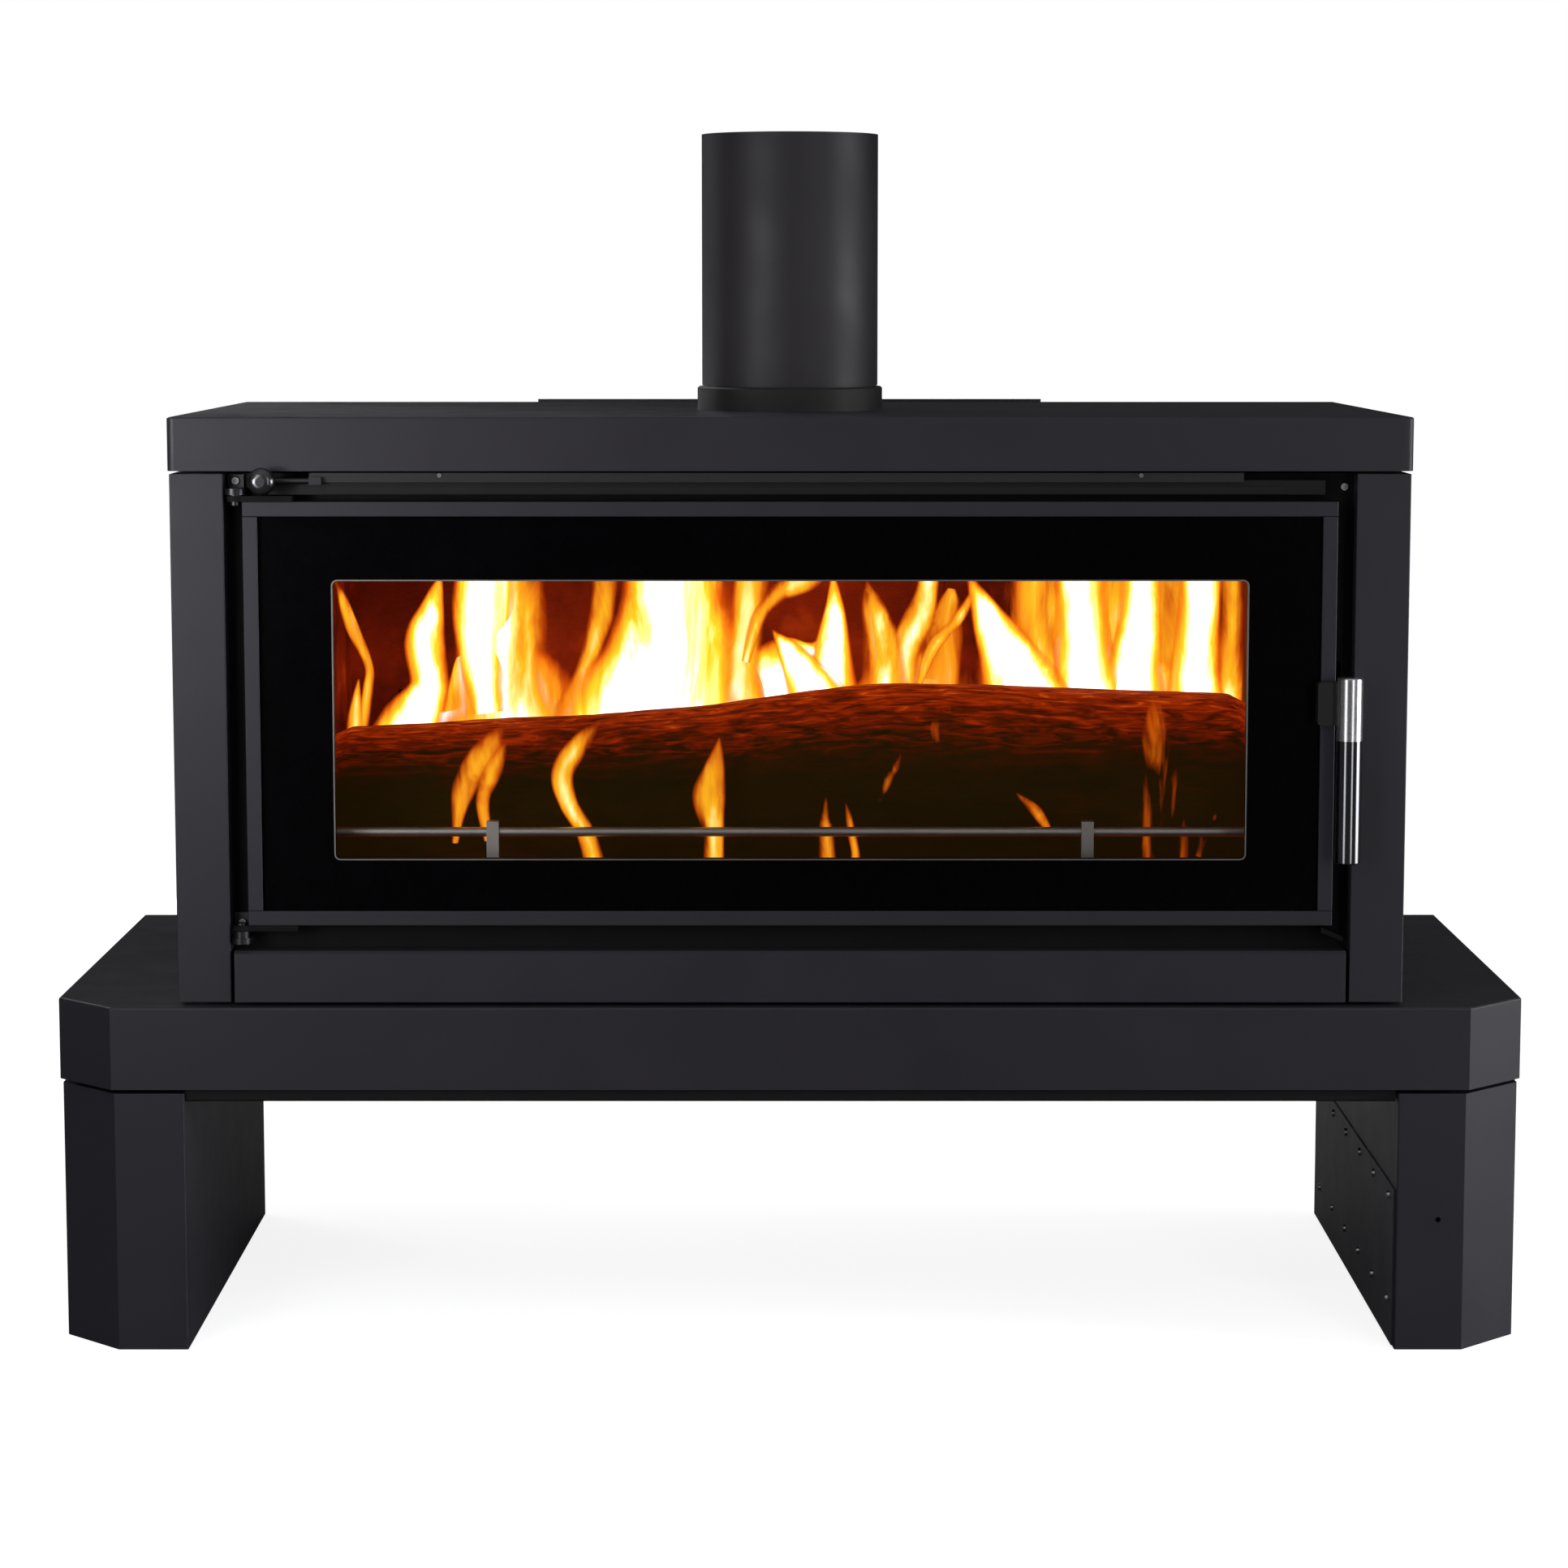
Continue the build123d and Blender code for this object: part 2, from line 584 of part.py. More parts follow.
with BuildPart() as log_retainer_posts:
    for x in POST_X:
        block((x - 5.0, x + 5.0), (BAR_Y - 6.0, BAR_Y + 6.0), (BRICK_TOP, POST_TOP))
        block((x - 15.0, x + 15.0), (BAR_Y - 12.0, BAR_Y + 12.0), (BRICK_TOP, BRICK_TOP + FOOT_SHEET))
    screw_holes([(x, BAR_Y, BAR_Z) for x in POST_X], "X", BAR_R, 20.0)
save(log_retainer_posts, "log_retainer_posts")

# A tapered front log and a rounder one behind it, as (length, left radius, right radius, y).
# Each lies with its lowest line level on the floor bricks, so its axis rises to the thick end.
LOGS = ((770.0, 70.0, 88.0, -80.0), (600.0, 58.0, 62.0, 75.0))
with BuildPart() as fire_logs:
    for length, left_r, right_r, y in LOGS:
        slope = atan2(right_r - left_r, length)
        middle_z = BRICK_TOP + (left_r + right_r) / 2 * cos(slope)
        with Locations(Location((0, y, middle_z), (0, 90.0 - degrees(slope), 0))):
            Cone(left_r, right_r, length)
save(fire_logs, "fire_logs")

# ---------------------------------------------------------------- flue

# Cast spigot bolted to the roof: the pipe's neck slides over it and rests on its shoulder
SPIGOT_SHOULDER = 750.0
NECK_TOP = STOVE_TOP + COLLAR_HEIGHT + 1.0
FLANGE_R = 95.0
with BuildPart() as flue_spigot:
    with BuildSketch(Plane.XY.offset(BOX_ROOF + PLATE)):
        Circle(FLANGE_R)
        Circle(SPIGOT_BORE, mode=Mode.SUBTRACT)
        with PolarLocations(FLANGE_BOLT_R, 6):
            Circle(FLANGE_HOLE_R, mode=Mode.SUBTRACT)
    extrude(amount=PLATE)
    for radius, top in ((NECK_R, SPIGOT_SHOULDER), (NECK_R - FLUE_WALL - 0.2, NECK_TOP)):
        with BuildSketch(Plane.XY.offset(BOX_ROOF + 2 * PLATE)):
            Circle(radius)
            Circle(SPIGOT_BORE, mode=Mode.SUBTRACT)
        extrude(amount=top - BOX_ROOF - 2 * PLATE)
save(flue_spigot, "flue_spigot")

BOLT_R = 4.0
BOLT_HEAD_R = 6.5
with BuildPart() as spigot_bolts:
    for i in range(6):
        seat = Plane(origin=(0, 0, BOX_ROOF + 2 * PLATE)).rotated((0, 0, 60.0 * i))
        with BuildSketch(seat):
            with Locations((FLANGE_BOLT_R, 0)):
                RegularPolygon(BOLT_HEAD_R, 6)
        extrude(amount=5.0)
        with BuildSketch(seat):
            with Locations((FLANGE_BOLT_R, 0)):
                Circle(BOLT_R)
        extrude(amount=-14.0)
save(spigot_bolts, "spigot_bolts")

with BuildPart() as flue_collar:
    with BuildSketch(Plane.XY.offset(STOVE_TOP)):
        Circle(COLLAR_R)
        Circle(NECK_R, mode=Mode.SUBTRACT)
    extrude(amount=COLLAR_HEIGHT)
    chamfer(flue_collar.edges().group_by(Axis.Z)[-1].sort_by(SortBy.RADIUS)[-1], 1.5)
save(flue_collar, "flue_collar")

# The pipe is full size from just above the collar to its open top
with BuildPart() as flue_pipe:
    for radius, bottom, top in ((NECK_R, SPIGOT_SHOULDER, NECK_TOP), (FLUE_R, NECK_TOP, FLUE_TOP)):
        with BuildSketch(Plane.XY.offset(bottom)):
            Circle(radius)
            Circle(radius - FLUE_WALL, mode=Mode.SUBTRACT)
        extrude(amount=top - bottom)
save(flue_pipe, "flue_pipe")

# ---------------------------------------------------------------- hinges and stops

BRACKET = 5.0
LOWER_BRACKET_Z = 336.0
UPPER_BRACKET_Z = 700.5
BRACKET_R = 8.0
HINGE_EYE_R = 6.5
with BuildPart() as hinge_brackets:
    for z, leg_top in ((LOWER_BRACKET_Z, 359.0), (UPPER_BRACKET_Z, 716.0)):
        with BuildSketch(Plane.XY.offset(z)):
            with Locations((HINGE_X, HINGE_Y)):
                Circle(BRACKET_R)
            rectangle((HINGE_X - BRACKET_R, HINGE_X + BRACKET_R), (HINGE_Y, FRAME_FACE))
            with Locations((HINGE_X, HINGE_Y)):
                Circle(HINGE_PIN_R, mode=Mode.SUBTRACT)
        extrude(amount=BRACKET)
        block((HINGE_X - BRACKET_R, -441.0), (FRAME_FACE - 3.0, FRAME_FACE), (z + BRACKET, leg_top))
    screw_holes(BRACKET_SCREWS, "Y")
save(hinge_brackets, "hinge_brackets")

# The lower pin has a collar that the door hangs on; the upper pin points down
COLLAR_TOP = DOOR_Z[0] - ARM - 0.3
PIN_TOP = DOOR_Z[0] + 2.0
PIN_TIP = DOOR_Z[1] - 3.0
with BuildPart() as hinge_pins:
    with BuildSketch(Plane.XY.offset(LOWER_BRACKET_Z)):
        with Locations((HINGE_X, HINGE_Y)):
            Circle(HINGE_PIN_R)
    extrude(amount=PIN_TOP - LOWER_BRACKET_Z)
    with BuildSketch(Plane.XY.offset(LOWER_BRACKET_Z + BRACKET)):
        with Locations((HINGE_X, HINGE_Y)):
            Circle(HINGE_EYE_R)
    extrude(amount=COLLAR_TOP - LOWER_BRACKET_Z - BRACKET)
    with BuildSketch(Plane.XY.offset(PIN_TIP)):
        with Locations((HINGE_X, HINGE_Y)):
            Circle(HINGE_PIN_R)
    extrude(amount=UPPER_BRACKET_Z + BRACKET - PIN_TIP)
save(hinge_pins, "hinge_pins")

# Small slanted ramp under the door's free corner
with BuildPart() as door_rest:
    with BuildSketch(facing(FRAME_FACE)):
        Polygon((432.0, 344.5), (450.0, 337.0), (450.0, 341.0), (432.0, 349.0), align=None)
    extrude(amount=18.0)
save(door_rest, "door_rest")

# Striker behind the front frame that the latch cam runs onto
KEEPER_X = (447.6, 453.0)
with BuildPart() as latch_keeper:
    block(KEEPER_X, (FRAME_BACK, FRAME_BACK + 12.0), (PIVOT_Z - 14.0, PIVOT_Z + 14.0))
    chamfer(latch_keeper.edges().filter_by(Axis.Z).sort_by(SortBy.DISTANCE)[0], 1.5)
save(latch_keeper, "latch_keeper")

# ---------------------------------------------------------------- air channel

PORT = (40.0, 9.0)
PORT_Y = FACE + 17.5
CHANNEL_FRONT = FACE + 7.0
CHANNEL_SHEET = 2.0
GUIDE_X = (-373.0, 397.0)
with BuildPart() as air_channel:
    for inset, mode in ((0.0, Mode.ADD), (CHANNEL_SHEET, Mode.SUBTRACT)):
        half = CHANNEL_HALF - inset
        rise = (CHANNEL_Z[0] + inset, CHANNEL_Z[1] - inset)
        block((-half, half), (CHANNEL_FRONT + inset, FRAME_FACE), rise, mode)
    block(GUIDE_X, (CHANNEL_FRONT - CHANNEL_SHEET, CHANNEL_FRONT), (701.0, 707.0))
    with BuildSketch(Plane.XY.offset(CHANNEL_Z[1])):
        with Locations((0, PORT_Y)):
            with GridLocations(PORT_PITCH, 1.0, PORTS, 1):
                Rectangle(*PORT)
    extrude(amount=-CHANNEL_SHEET, mode=Mode.SUBTRACT)
save(air_channel, "air_channel")

# ---------------------------------------------------------------- door

# A plate behind the glass with ribs round its edge, on both sides of the rope and at the window
WEB = 3.0
RIB_DEPTH = DOOR_DEPTH - BAR_DEPTH - WEB
SPINDLE_BOSS_R = 6.5
with BuildPart() as door_inner_frame:
    with BuildSketch(facing(FACE + BAR_DEPTH + WEB)):
        rectangle((-DOOR_HALF, DOOR_HALF), DOOR_Z)
        window_cut()
    extrude(amount=WEB)
    for inset in (0.0, ROPE_INSET - ROPE / 2 - WEB - 0.5, ROPE_INSET + ROPE / 2 + 0.5):
        with BuildSketch(facing(DOOR_BACK)):
            door_ring(inset, inset + WEB)
        extrude(amount=RIB_DEPTH)
    with BuildSketch(facing(DOOR_BACK)):
        rib = WINDOW_HALF + WEB
        rectangle((-rib, rib), (WINDOW_Z[0] - WEB, WINDOW_Z[1] + WEB), WINDOW_R + WEB)
        window_cut()
    extrude(amount=RIB_DEPTH)
    with BuildSketch(facing(DOOR_BACK)):
        with Locations((PIVOT_X, PIVOT_Z)):
            Circle(SPINDLE_BOSS_R)
    extrude(amount=RIB_DEPTH + WEB)
    screw_holes([(PIVOT_X, DOOR_BACK, PIVOT_Z)], "Y", SPINDLE_R + PIN_CLEARANCE, 60.0)
save(door_inner_frame, "door_inner_frame")

GLASS_INSET = BAR - REBATE + 0.3
GLASS_HALF = DOOR_HALF - GLASS_INSET
GLASS_Z = (DOOR_Z[0] + GLASS_INSET, DOOR_Z[1] - GLASS_INSET)
GLASS_Y = (FACE + 2.0, FACE + 2.0 + GLASS)
with BuildPart() as door_glass:
    block((-GLASS_HALF, GLASS_HALF), GLASS_Y, GLASS_Z)
    chamfer(door_glass.faces().sort_by(Axis.Y)[0].edges(), 0.5)
save(door_glass, "door_glass")

GASKET_INSETS = (17.0, 31.0)
with BuildPart() as glass_gasket:
    with BuildSketch(facing(FACE + BAR_DEPTH)):
        door_ring(*GASKET_INSETS)
    extrude(amount=FACE + BAR_DEPTH - GLASS_Y[1])
save(glass_gasket, "glass_gasket")


def trim_bar(x, z):
    """One bar of the door's edge trim, with a rebate that laps the edge of the glass."""
    block(x, (FACE, FACE + BAR_DEPTH), z)
    fillet(edges().group_by(Axis.Y)[0], 0.8)
    half = DOOR_HALF - BAR + REBATE
    pocket_z = (DOOR_Z[0] + BAR - REBATE, DOOR_Z[1] - BAR + REBATE)
    block((-half, half), (GLASS_Y[0] - 0.2, FACE + BAR_DEPTH), pocket_z, Mode.SUBTRACT)
    screw_holes([(PIVOT_X, FACE, PIVOT_Z)], "Y", SPINDLE_R + 0.3, 60.0)


TRIM_BARS = {
    "door_trim_top": ((-DOOR_HALF, DOOR_HALF), (DOOR_Z[1] - BAR, DOOR_Z[1])),
    "door_trim_bottom": ((-DOOR_HALF, DOOR_HALF), (DOOR_Z[0], DOOR_Z[0] + BAR)),
    "door_trim_left": ((-DOOR_HALF, -DOOR_HALF + BAR), (DOOR_Z[0] + BAR, DOOR_Z[1] - BAR)),
    "door_trim_right": ((DOOR_HALF - BAR, DOOR_HALF), (DOOR_Z[0] + BAR, DOOR_Z[1] - BAR)),
}
for name, (x, z) in TRIM_BARS.items():
    with BuildPart() as trim:
        trim_bar(x, z)
    save(trim, name)

with BuildPart() as door_rope_gasket:
    with BuildSketch(facing(DOOR_BACK + 2.0)):
        door_ring(ROPE_INSET - ROPE / 2, ROPE_INSET + ROPE / 2)
    extrude(amount=ROPE)
    fillet(door_rope_gasket.faces().sort_by(Axis.Y)[-1].edges(), 4.0)
save(door_rope_gasket, "door_rope_gasket")

ARM_END = -400.0
with BuildPart() as door_hinge_arms:
    for z in (DOOR_Z[0] - ARM, DOOR_Z[1]):
        with BuildSketch(Plane.XY.offset(z)):
            with Locations((HINGE_X, HINGE_Y)):
                Circle(HINGE_EYE_R)
            rectangle((HINGE_X, ARM_END), (FACE, FACE + 17.0))
            with Locations((HINGE_X, HINGE_Y)):
                Circle(HINGE_PIN_R + PIN_CLEARANCE, mode=Mode.SUBTRACT)
        extrude(amount=ARM)
save(door_hinge_arms, "door_hinge_arms")

# ---------------------------------------------------------------- handle and latch

with BuildPart() as handle_hub:
    with BuildSketch(Plane.XY.offset(GRIP_Z[1])):
        with Locations((GRIP_X, GRIP_Y)):
            Circle(GRIP_R)
    extrude(amount=HUB_TOP - GRIP_Z[1])
    chamfer(handle_hub.edges().group_by(Axis.Z)[-1], 0.8)
save(handle_hub, "handle_hub")

with BuildPart() as handle_grip:
    with BuildSketch(Plane.XY.offset(GRIP_Z[0])):
        with Locations((GRIP_X, GRIP_Y)):
            Circle(GRIP_R)
    extrude(amount=GRIP_Z[1] - GRIP_Z[0])
    chamfer(handle_grip.edges().group_by(Axis.Z)[0], 1.0)
save(handle_grip, "handle_grip")

LUG_Y = (FACE - 15.0, FACE - 1.0)
LUG_CORNER_R = 3.0
with BuildPart() as handle_lug:
    block((PIVOT_X - 10.5, GRIP_X), LUG_Y, (PIVOT_Z - 17.0, PIVOT_Z + 18.0))
    fillet(handle_lug.edges().filter_by(Axis.Y).group_by(Axis.X)[0], LUG_CORNER_R)
    with Locations((GRIP_X, GRIP_Y, PIVOT_Z)):
        Cylinder(GRIP_R, 60.0, mode=Mode.SUBTRACT)
    screw_holes([(PIVOT_X, LUG_Y[1], PIVOT_Z)], "Y", SPINDLE_R, 20.0)
save(handle_lug, "handle_lug")

# The spindle runs from the lug, through the door, to a nut behind the cam
CAM_Y = (FRAME_BACK + 1.7, FRAME_BACK + 6.7)
NUT_R = 6.5
NUT_HEIGHT = 5.0
with BuildPart() as latch_spindle:
    with BuildSketch(facing(CAM_Y[1])):
        with Locations((PIVOT_X, PIVOT_Z)):
            Circle(SPINDLE_R)
    extrude(amount=CAM_Y[1] - LUG_Y[1] + 10.0)
    with BuildSketch(facing(CAM_Y[1] + NUT_HEIGHT)):
        with Locations((PIVOT_X, PIVOT_Z)):
            RegularPolygon(NUT_R, 6)
    extrude(amount=NUT_HEIGHT)
save(latch_spindle, "latch_spindle")

CAM_REACH = 11.8
CAM_EYE_R = 8.0
with BuildPart() as latch_cam:
    with BuildSketch(facing(CAM_Y[1])):
        with Locations((PIVOT_X, PIVOT_Z)):
            Circle(CAM_EYE_R)
        rectangle((PIVOT_X, PIVOT_X + CAM_REACH), (PIVOT_Z - 5.0, PIVOT_Z + 5.0))
        with Locations((PIVOT_X, PIVOT_Z)):
            Circle(SPINDLE_R, mode=Mode.SUBTRACT)
    extrude(amount=CAM_Y[1] - CAM_Y[0])
save(latch_cam, "latch_cam")

# ---------------------------------------------------------------- air control

# L-section slide: a front strip under the cap, and a ported flange over the channel
ROD_Y = FACE + 1.0
ROD_R = 2.5
SLIDE_SCREWS = [(x, FACE + 3.0, 716.0) for x in (-281.5, 281.5)]
with BuildPart() as air_slide:
    block(SLIDE_X, (FACE + 3.0, FACE + 5.0), SLIDE_Z)
    block(SLIDE_X, (FACE + 5.0, FACE + 22.5), (CHANNEL_Z[1] + 0.4, CHANNEL_Z[1] + 2.4))
    block((SLIDE_X[0], SLIDE_X[0] + 10.0), (ROD_Y - 3.0, FACE + 5.0), (KNOB_Z - 3.0, KNOB_Z + 3.0))
    with BuildSketch(Plane.XY.offset(CHANNEL_Z[1])):
        with Locations((0, PORT_Y)):
            with GridLocations(PORT_PITCH, 1.0, PORTS, 1):
                Rectangle(*PORT)
    extrude(amount=4.0, mode=Mode.SUBTRACT)
    screw_holes(SLIDE_SCREWS, "Y", 1.3, 4.0)
save(air_slide, "air_slide")

with BuildPart() as air_slide_screws:
    screws(SLIDE_SCREWS, FORWARD, 1.2, 2.0)
save(air_slide_screws, "air_slide_screws")

KNOB_BACK = FACE - 5.0
with BuildPart() as air_control_rod:
    with BuildLine():
        FilletPolyline(
            (SLIDE_X[0], ROD_Y, KNOB_Z), (KNOB_X, ROD_Y, KNOB_Z), (KNOB_X, KNOB_BACK, KNOB_Z),
            radius=4.5,
        )
    with BuildSketch(Plane(origin=(SLIDE_X[0], ROD_Y, KNOB_Z), z_dir=(-1, 0, 0))):
        Circle(ROD_R)
    sweep()
save(air_control_rod, "air_control_rod")

# Turned knob: a waisted skirt, a full rim and a gently domed face
KNOB_LENGTH = 19.0
with BuildPart() as air_control_knob:
    with BuildSketch(Plane(origin=(KNOB_X, KNOB_BACK, KNOB_Z), x_dir=(1, 0, 0), z_dir=(0, 0, 1))):
        with BuildLine():
            Polyline((0, 0), (8.0, 0), (7.0, -4.0), (KNOB_R - 1.0, -8.0), (KNOB_R, -9.5), (KNOB_R, -13.5))
            ThreePointArc((KNOB_R, -13.5), (8.3, -17.3), (3.0, -KNOB_LENGTH))
            Polyline((3.0, -KNOB_LENGTH), (0, -KNOB_LENGTH), (0, 0))
        make_face()
    revolve(axis=Axis((KNOB_X, KNOB_BACK, KNOB_Z), (0, 1, 0)))
save(air_control_knob, "air_control_knob")

# ---------------------------------------------------------------- fasteners

with BuildPart() as socket_screws:
    screws(COVER_SCREWS, (-1, 0, 0))
    screws([(x, SHIELD_Y[1], z) for x, z in SHIELD_FIXINGS], BACKWARD, 2.0, SHIELD_Y[1] - CASE_BACK)
    screws(BRACKET_SCREWS, FORWARD, 2.0, 6.0)
    screws([FRAME_SCREW], FORWARD, 2.0, 4.0)
save(socket_screws, "socket_screws")
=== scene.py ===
import json
import math
import random

import bpy
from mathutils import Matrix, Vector, noise


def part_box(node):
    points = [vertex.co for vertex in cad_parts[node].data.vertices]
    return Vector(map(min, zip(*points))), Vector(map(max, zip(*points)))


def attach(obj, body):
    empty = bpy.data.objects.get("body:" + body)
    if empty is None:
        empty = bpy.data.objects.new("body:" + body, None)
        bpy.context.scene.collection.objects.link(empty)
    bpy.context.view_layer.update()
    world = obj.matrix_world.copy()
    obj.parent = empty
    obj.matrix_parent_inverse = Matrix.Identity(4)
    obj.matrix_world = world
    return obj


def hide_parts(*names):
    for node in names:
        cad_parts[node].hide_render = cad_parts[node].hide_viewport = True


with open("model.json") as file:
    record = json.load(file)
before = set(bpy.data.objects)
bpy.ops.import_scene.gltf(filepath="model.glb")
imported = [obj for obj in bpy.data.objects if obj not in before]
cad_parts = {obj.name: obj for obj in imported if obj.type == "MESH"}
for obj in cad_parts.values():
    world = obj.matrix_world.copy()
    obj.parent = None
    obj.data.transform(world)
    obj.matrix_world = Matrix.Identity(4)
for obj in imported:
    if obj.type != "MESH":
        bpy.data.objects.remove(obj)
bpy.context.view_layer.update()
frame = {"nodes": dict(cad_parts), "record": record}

# Everything is in metres in the frame of the CAD model: X right, Y back, Z up.
MM = 0.001
record = frame["record"]
scene = bpy.context.scene


# ------------------------------------------------------------------ places read from the frame

DOOR_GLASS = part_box("door_glass")
FLOOR_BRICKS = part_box("floor_bricks")
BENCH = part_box("bench_top")
FIRE_FLOOR = FLOOR_BRICKS[1].z

# The clear window inside the door glass's black border: half width, bottom and top, corner radius.
WINDOW_HALF = 370 * MM
WINDOW_Z = (404 * MM, 632 * MM)
WINDOW_R = 5 * MM


# ------------------------------------------------------------------ node trees

class Nodes:
    """One material's node tree, built with short calls."""

    def __init__(self, name):
        self.material = bpy.data.materials.new(name)
        self.material.use_nodes = True
        self.tree = self.material.node_tree
        self.tree.nodes.clear()

    def add(self, kind, settings=None, **inputs):
        """A node of that kind; inputs are values or sockets, by name, with _ for a space."""
        node = self.tree.nodes.new("ShaderNode" + kind)
        for name, value in (settings or {}).items():
            setattr(node, name, value)
        for name, value in inputs.items():
            self.put(node.inputs[name.replace("_", " ")], value)
        return node

    def put(self, socket, value):
        """Links the socket to value when that is a socket, and sets it otherwise."""
        if isinstance(value, bpy.types.NodeSocket):
            self.tree.links.new(value, socket)
        else:
            socket.default_value = value

    def place(self, scale=(1, 1, 1)):
        """Position in the frame, in metres, stretched by scale."""
        here = self.add("TexCoord")
        return self.add("Mapping", Vector=here.outputs["Object"], Scale=scale).outputs[0]

    def noise(self, scale, detail=3.0, rough=0.5, at=None, distortion=0.0):
        """Cloudy noise from about 0.3 to 0.7, in features of about 1 / scale metres."""
        vector = at or self.place()
        node = self.add("TexNoise", Vector=vector, Scale=scale, Detail=detail, Roughness=rough,
                        Distortion=distortion)
        return node.outputs["Fac"]

    def span(self, value, low, high, to_low, to_high, clamp=True):
        """value taken from low..high to to_low..to_high."""
        node = self.add("MapRange", {"clamp": clamp})
        for socket, number in zip(node.inputs, (value, low, high, to_low, to_high)):
            self.put(socket, number)
        return node.outputs[0]

    def math(self, operation, a, b=0.0):
        node = self.add("Math", {"operation": operation})
        self.put(node.inputs[0], a)
        self.put(node.inputs[1], b)
        return node.outputs[0]

    def ramp(self, value, stops):
        """A colour ramp through (place, (r, g, b)) stops."""
        node = self.add("ValToRGB", Fac=value)
        elements = node.color_ramp.elements
        for element, (where, colour) in zip(elements, (stops[0], stops[-1])):
            element.position = where
            element.color = (*colour, 1.0)
        for where, colour in stops[1:-1]:
            elements.new(where).color = (*colour, 1.0)
        return node.outputs[0]

    def bump(self, height, strength, distance):
        return self.add("Bump", Height=height, Strength=strength, Distance=distance).outputs[0]

    def surface(self, shader):
        """The finished material."""
        self.add("OutputMaterial", Surface=shader.outputs[0])
        return self.material


def shade(colour, factor):
    """The colour, darker or lighter."""
    return tuple(c * factor for c in colour)


def painted(name, colour, rough, grain=0.05, mottling=0.05, specular=0.4):
    """Stove paint on steel: faint mottling, a fine powder grain and an uneven gloss."""
    n = Nodes(name)
    cloud = n.noise(7.0, 4.0, 0.55)
    spread = n.ramp(cloud, [(0.30, shade(colour, 1 - mottling)), (0.70, shade(colour, 1 + mottling))])
    gloss = n.span(n.noise(23.0, 3.0), 0.3, 0.7, rough - 0.05, rough + 0.05)
    powder = n.noise(1500.0, 2.0)
    ripple = n.noise(55.0, 2.0)
    height = n.math("ADD", powder, n.math("MULTIPLY", ripple, 2.0))
    shader = n.add("BsdfPrincipled", Base_Color=spread, Roughness=gloss,
                   Normal=n.bump(height, grain, 0.0004))
    shader.inputs["Specular IOR Level"].default_value = specular
    return n.surface(shader)


def metal(name, colour, rough, brush=(1, 1, 1), scratch=0.05, mottling=0.06):
    """Bare or plated metal with fine scratches that run along the long axis of brush."""
    n = Nodes(name)
    lines = n.noise(900.0, 3.0, 0.6, at=n.place(brush))
    cloud = n.noise(30.0, 3.0)
    spread = n.ramp(cloud, [(0.3, shade(colour, 1 - mottling)), (0.7, shade(colour, 1 + mottling))])
    gloss = n.span(lines, 0.3, 0.7, max(rough - 0.04, 0.02), rough + 0.05)
    shader = n.add("BsdfPrincipled", Base_Color=spread, Metallic=1.0, Roughness=gloss,
                   Normal=n.bump(lines, scratch, 0.0001))
    return n.surface(shader)


def gloss_black(name, colour, rough, specular=0.5):
    """Moulded or enamelled black with a clear gloss."""
    n = Nodes(name)
    cloud = n.noise(60.0, 3.0)
    spread = n.ramp(cloud, [(0.3, shade(colour, 0.8)), (0.7, shade(colour, 1.2))])
    gloss = n.span(n.noise(300.0, 2.0), 0.3, 0.7, rough, rough + 0.04)
    shader = n.add("BsdfPrincipled", Base_Color=spread, Roughness=gloss,
                   Normal=n.bump(n.noise(400.0, 2.0), 0.02, 0.0002))
    shader.inputs["Specular IOR Level"].default_value = specular
    return n.surface(shader)


def fire_brick():
    """Vermiculite board: flaky grain, soot in clouds, and a dull red glow in clouds that is painted
    firelight.
    """
    n = Nodes("sooted_firebrick")
    flakes = n.add("TexVoronoi", Vector=n.place((1, 1, 1.6)), Scale=260.0).outputs["Distance"]
    cloud = n.noise(14.0, 5.0, 0.6)
    colour = n.ramp(cloud, [(0.30, (0.030, 0.0040, 0.0010)), (0.55, (0.085, 0.010, 0.0020)),
                            (0.80, (0.13, 0.022, 0.006))])
    # Painted firelight: the bricks emit a faint red everywhere and a dull red glow in clouds, though they
    # are no lamp.
    heat = n.span(n.noise(9.0, 4.0, 0.6), 0.40, 0.72, 0.0, 1.0)
    glow = n.ramp(heat, [(0.0, (0.030, 0.0010, 0.0)), (0.55, (0.13, 0.006, 0.0003)),
                         (1.0, (0.36, 0.030, 0.001))])
    shader = n.add("BsdfPrincipled", Base_Color=colour, Roughness=0.92,
                   Normal=n.bump(flakes, 0.5, 0.0015))
    shader.inputs["Specular IOR Level"].default_value = 0.08
    n.put(shader.inputs["Emission Color"], glow)
    shader.inputs["Emission Strength"].default_value = 1.0
    return n.surface(shader)


def clear_glass():
    """Ceramic glass: nearly clear, with a faint smoky tint and a Fresnel reflection."""
    n = Nodes("ceramic_glass")
    smoke = n.ramp(n.noise(6.0, 4.0), [(0.3, (0.90, 0.89, 0.88)), (0.7, (0.98, 0.97, 0.96))])
    through = n.add("BsdfTransparent", Color=smoke)
    mirror = n.add("BsdfGlossy", Color=(1, 1, 1, 1), Roughness=0.03)
    edge = n.add("Fresnel", IOR=1.14)
    mix = n.add("MixShader", Fac=edge.outputs[0])
    n.put(mix.inputs[1], through.outputs[0])
    n.put(mix.inputs[2], mirror.outputs[0])
    return n.surface(mix)


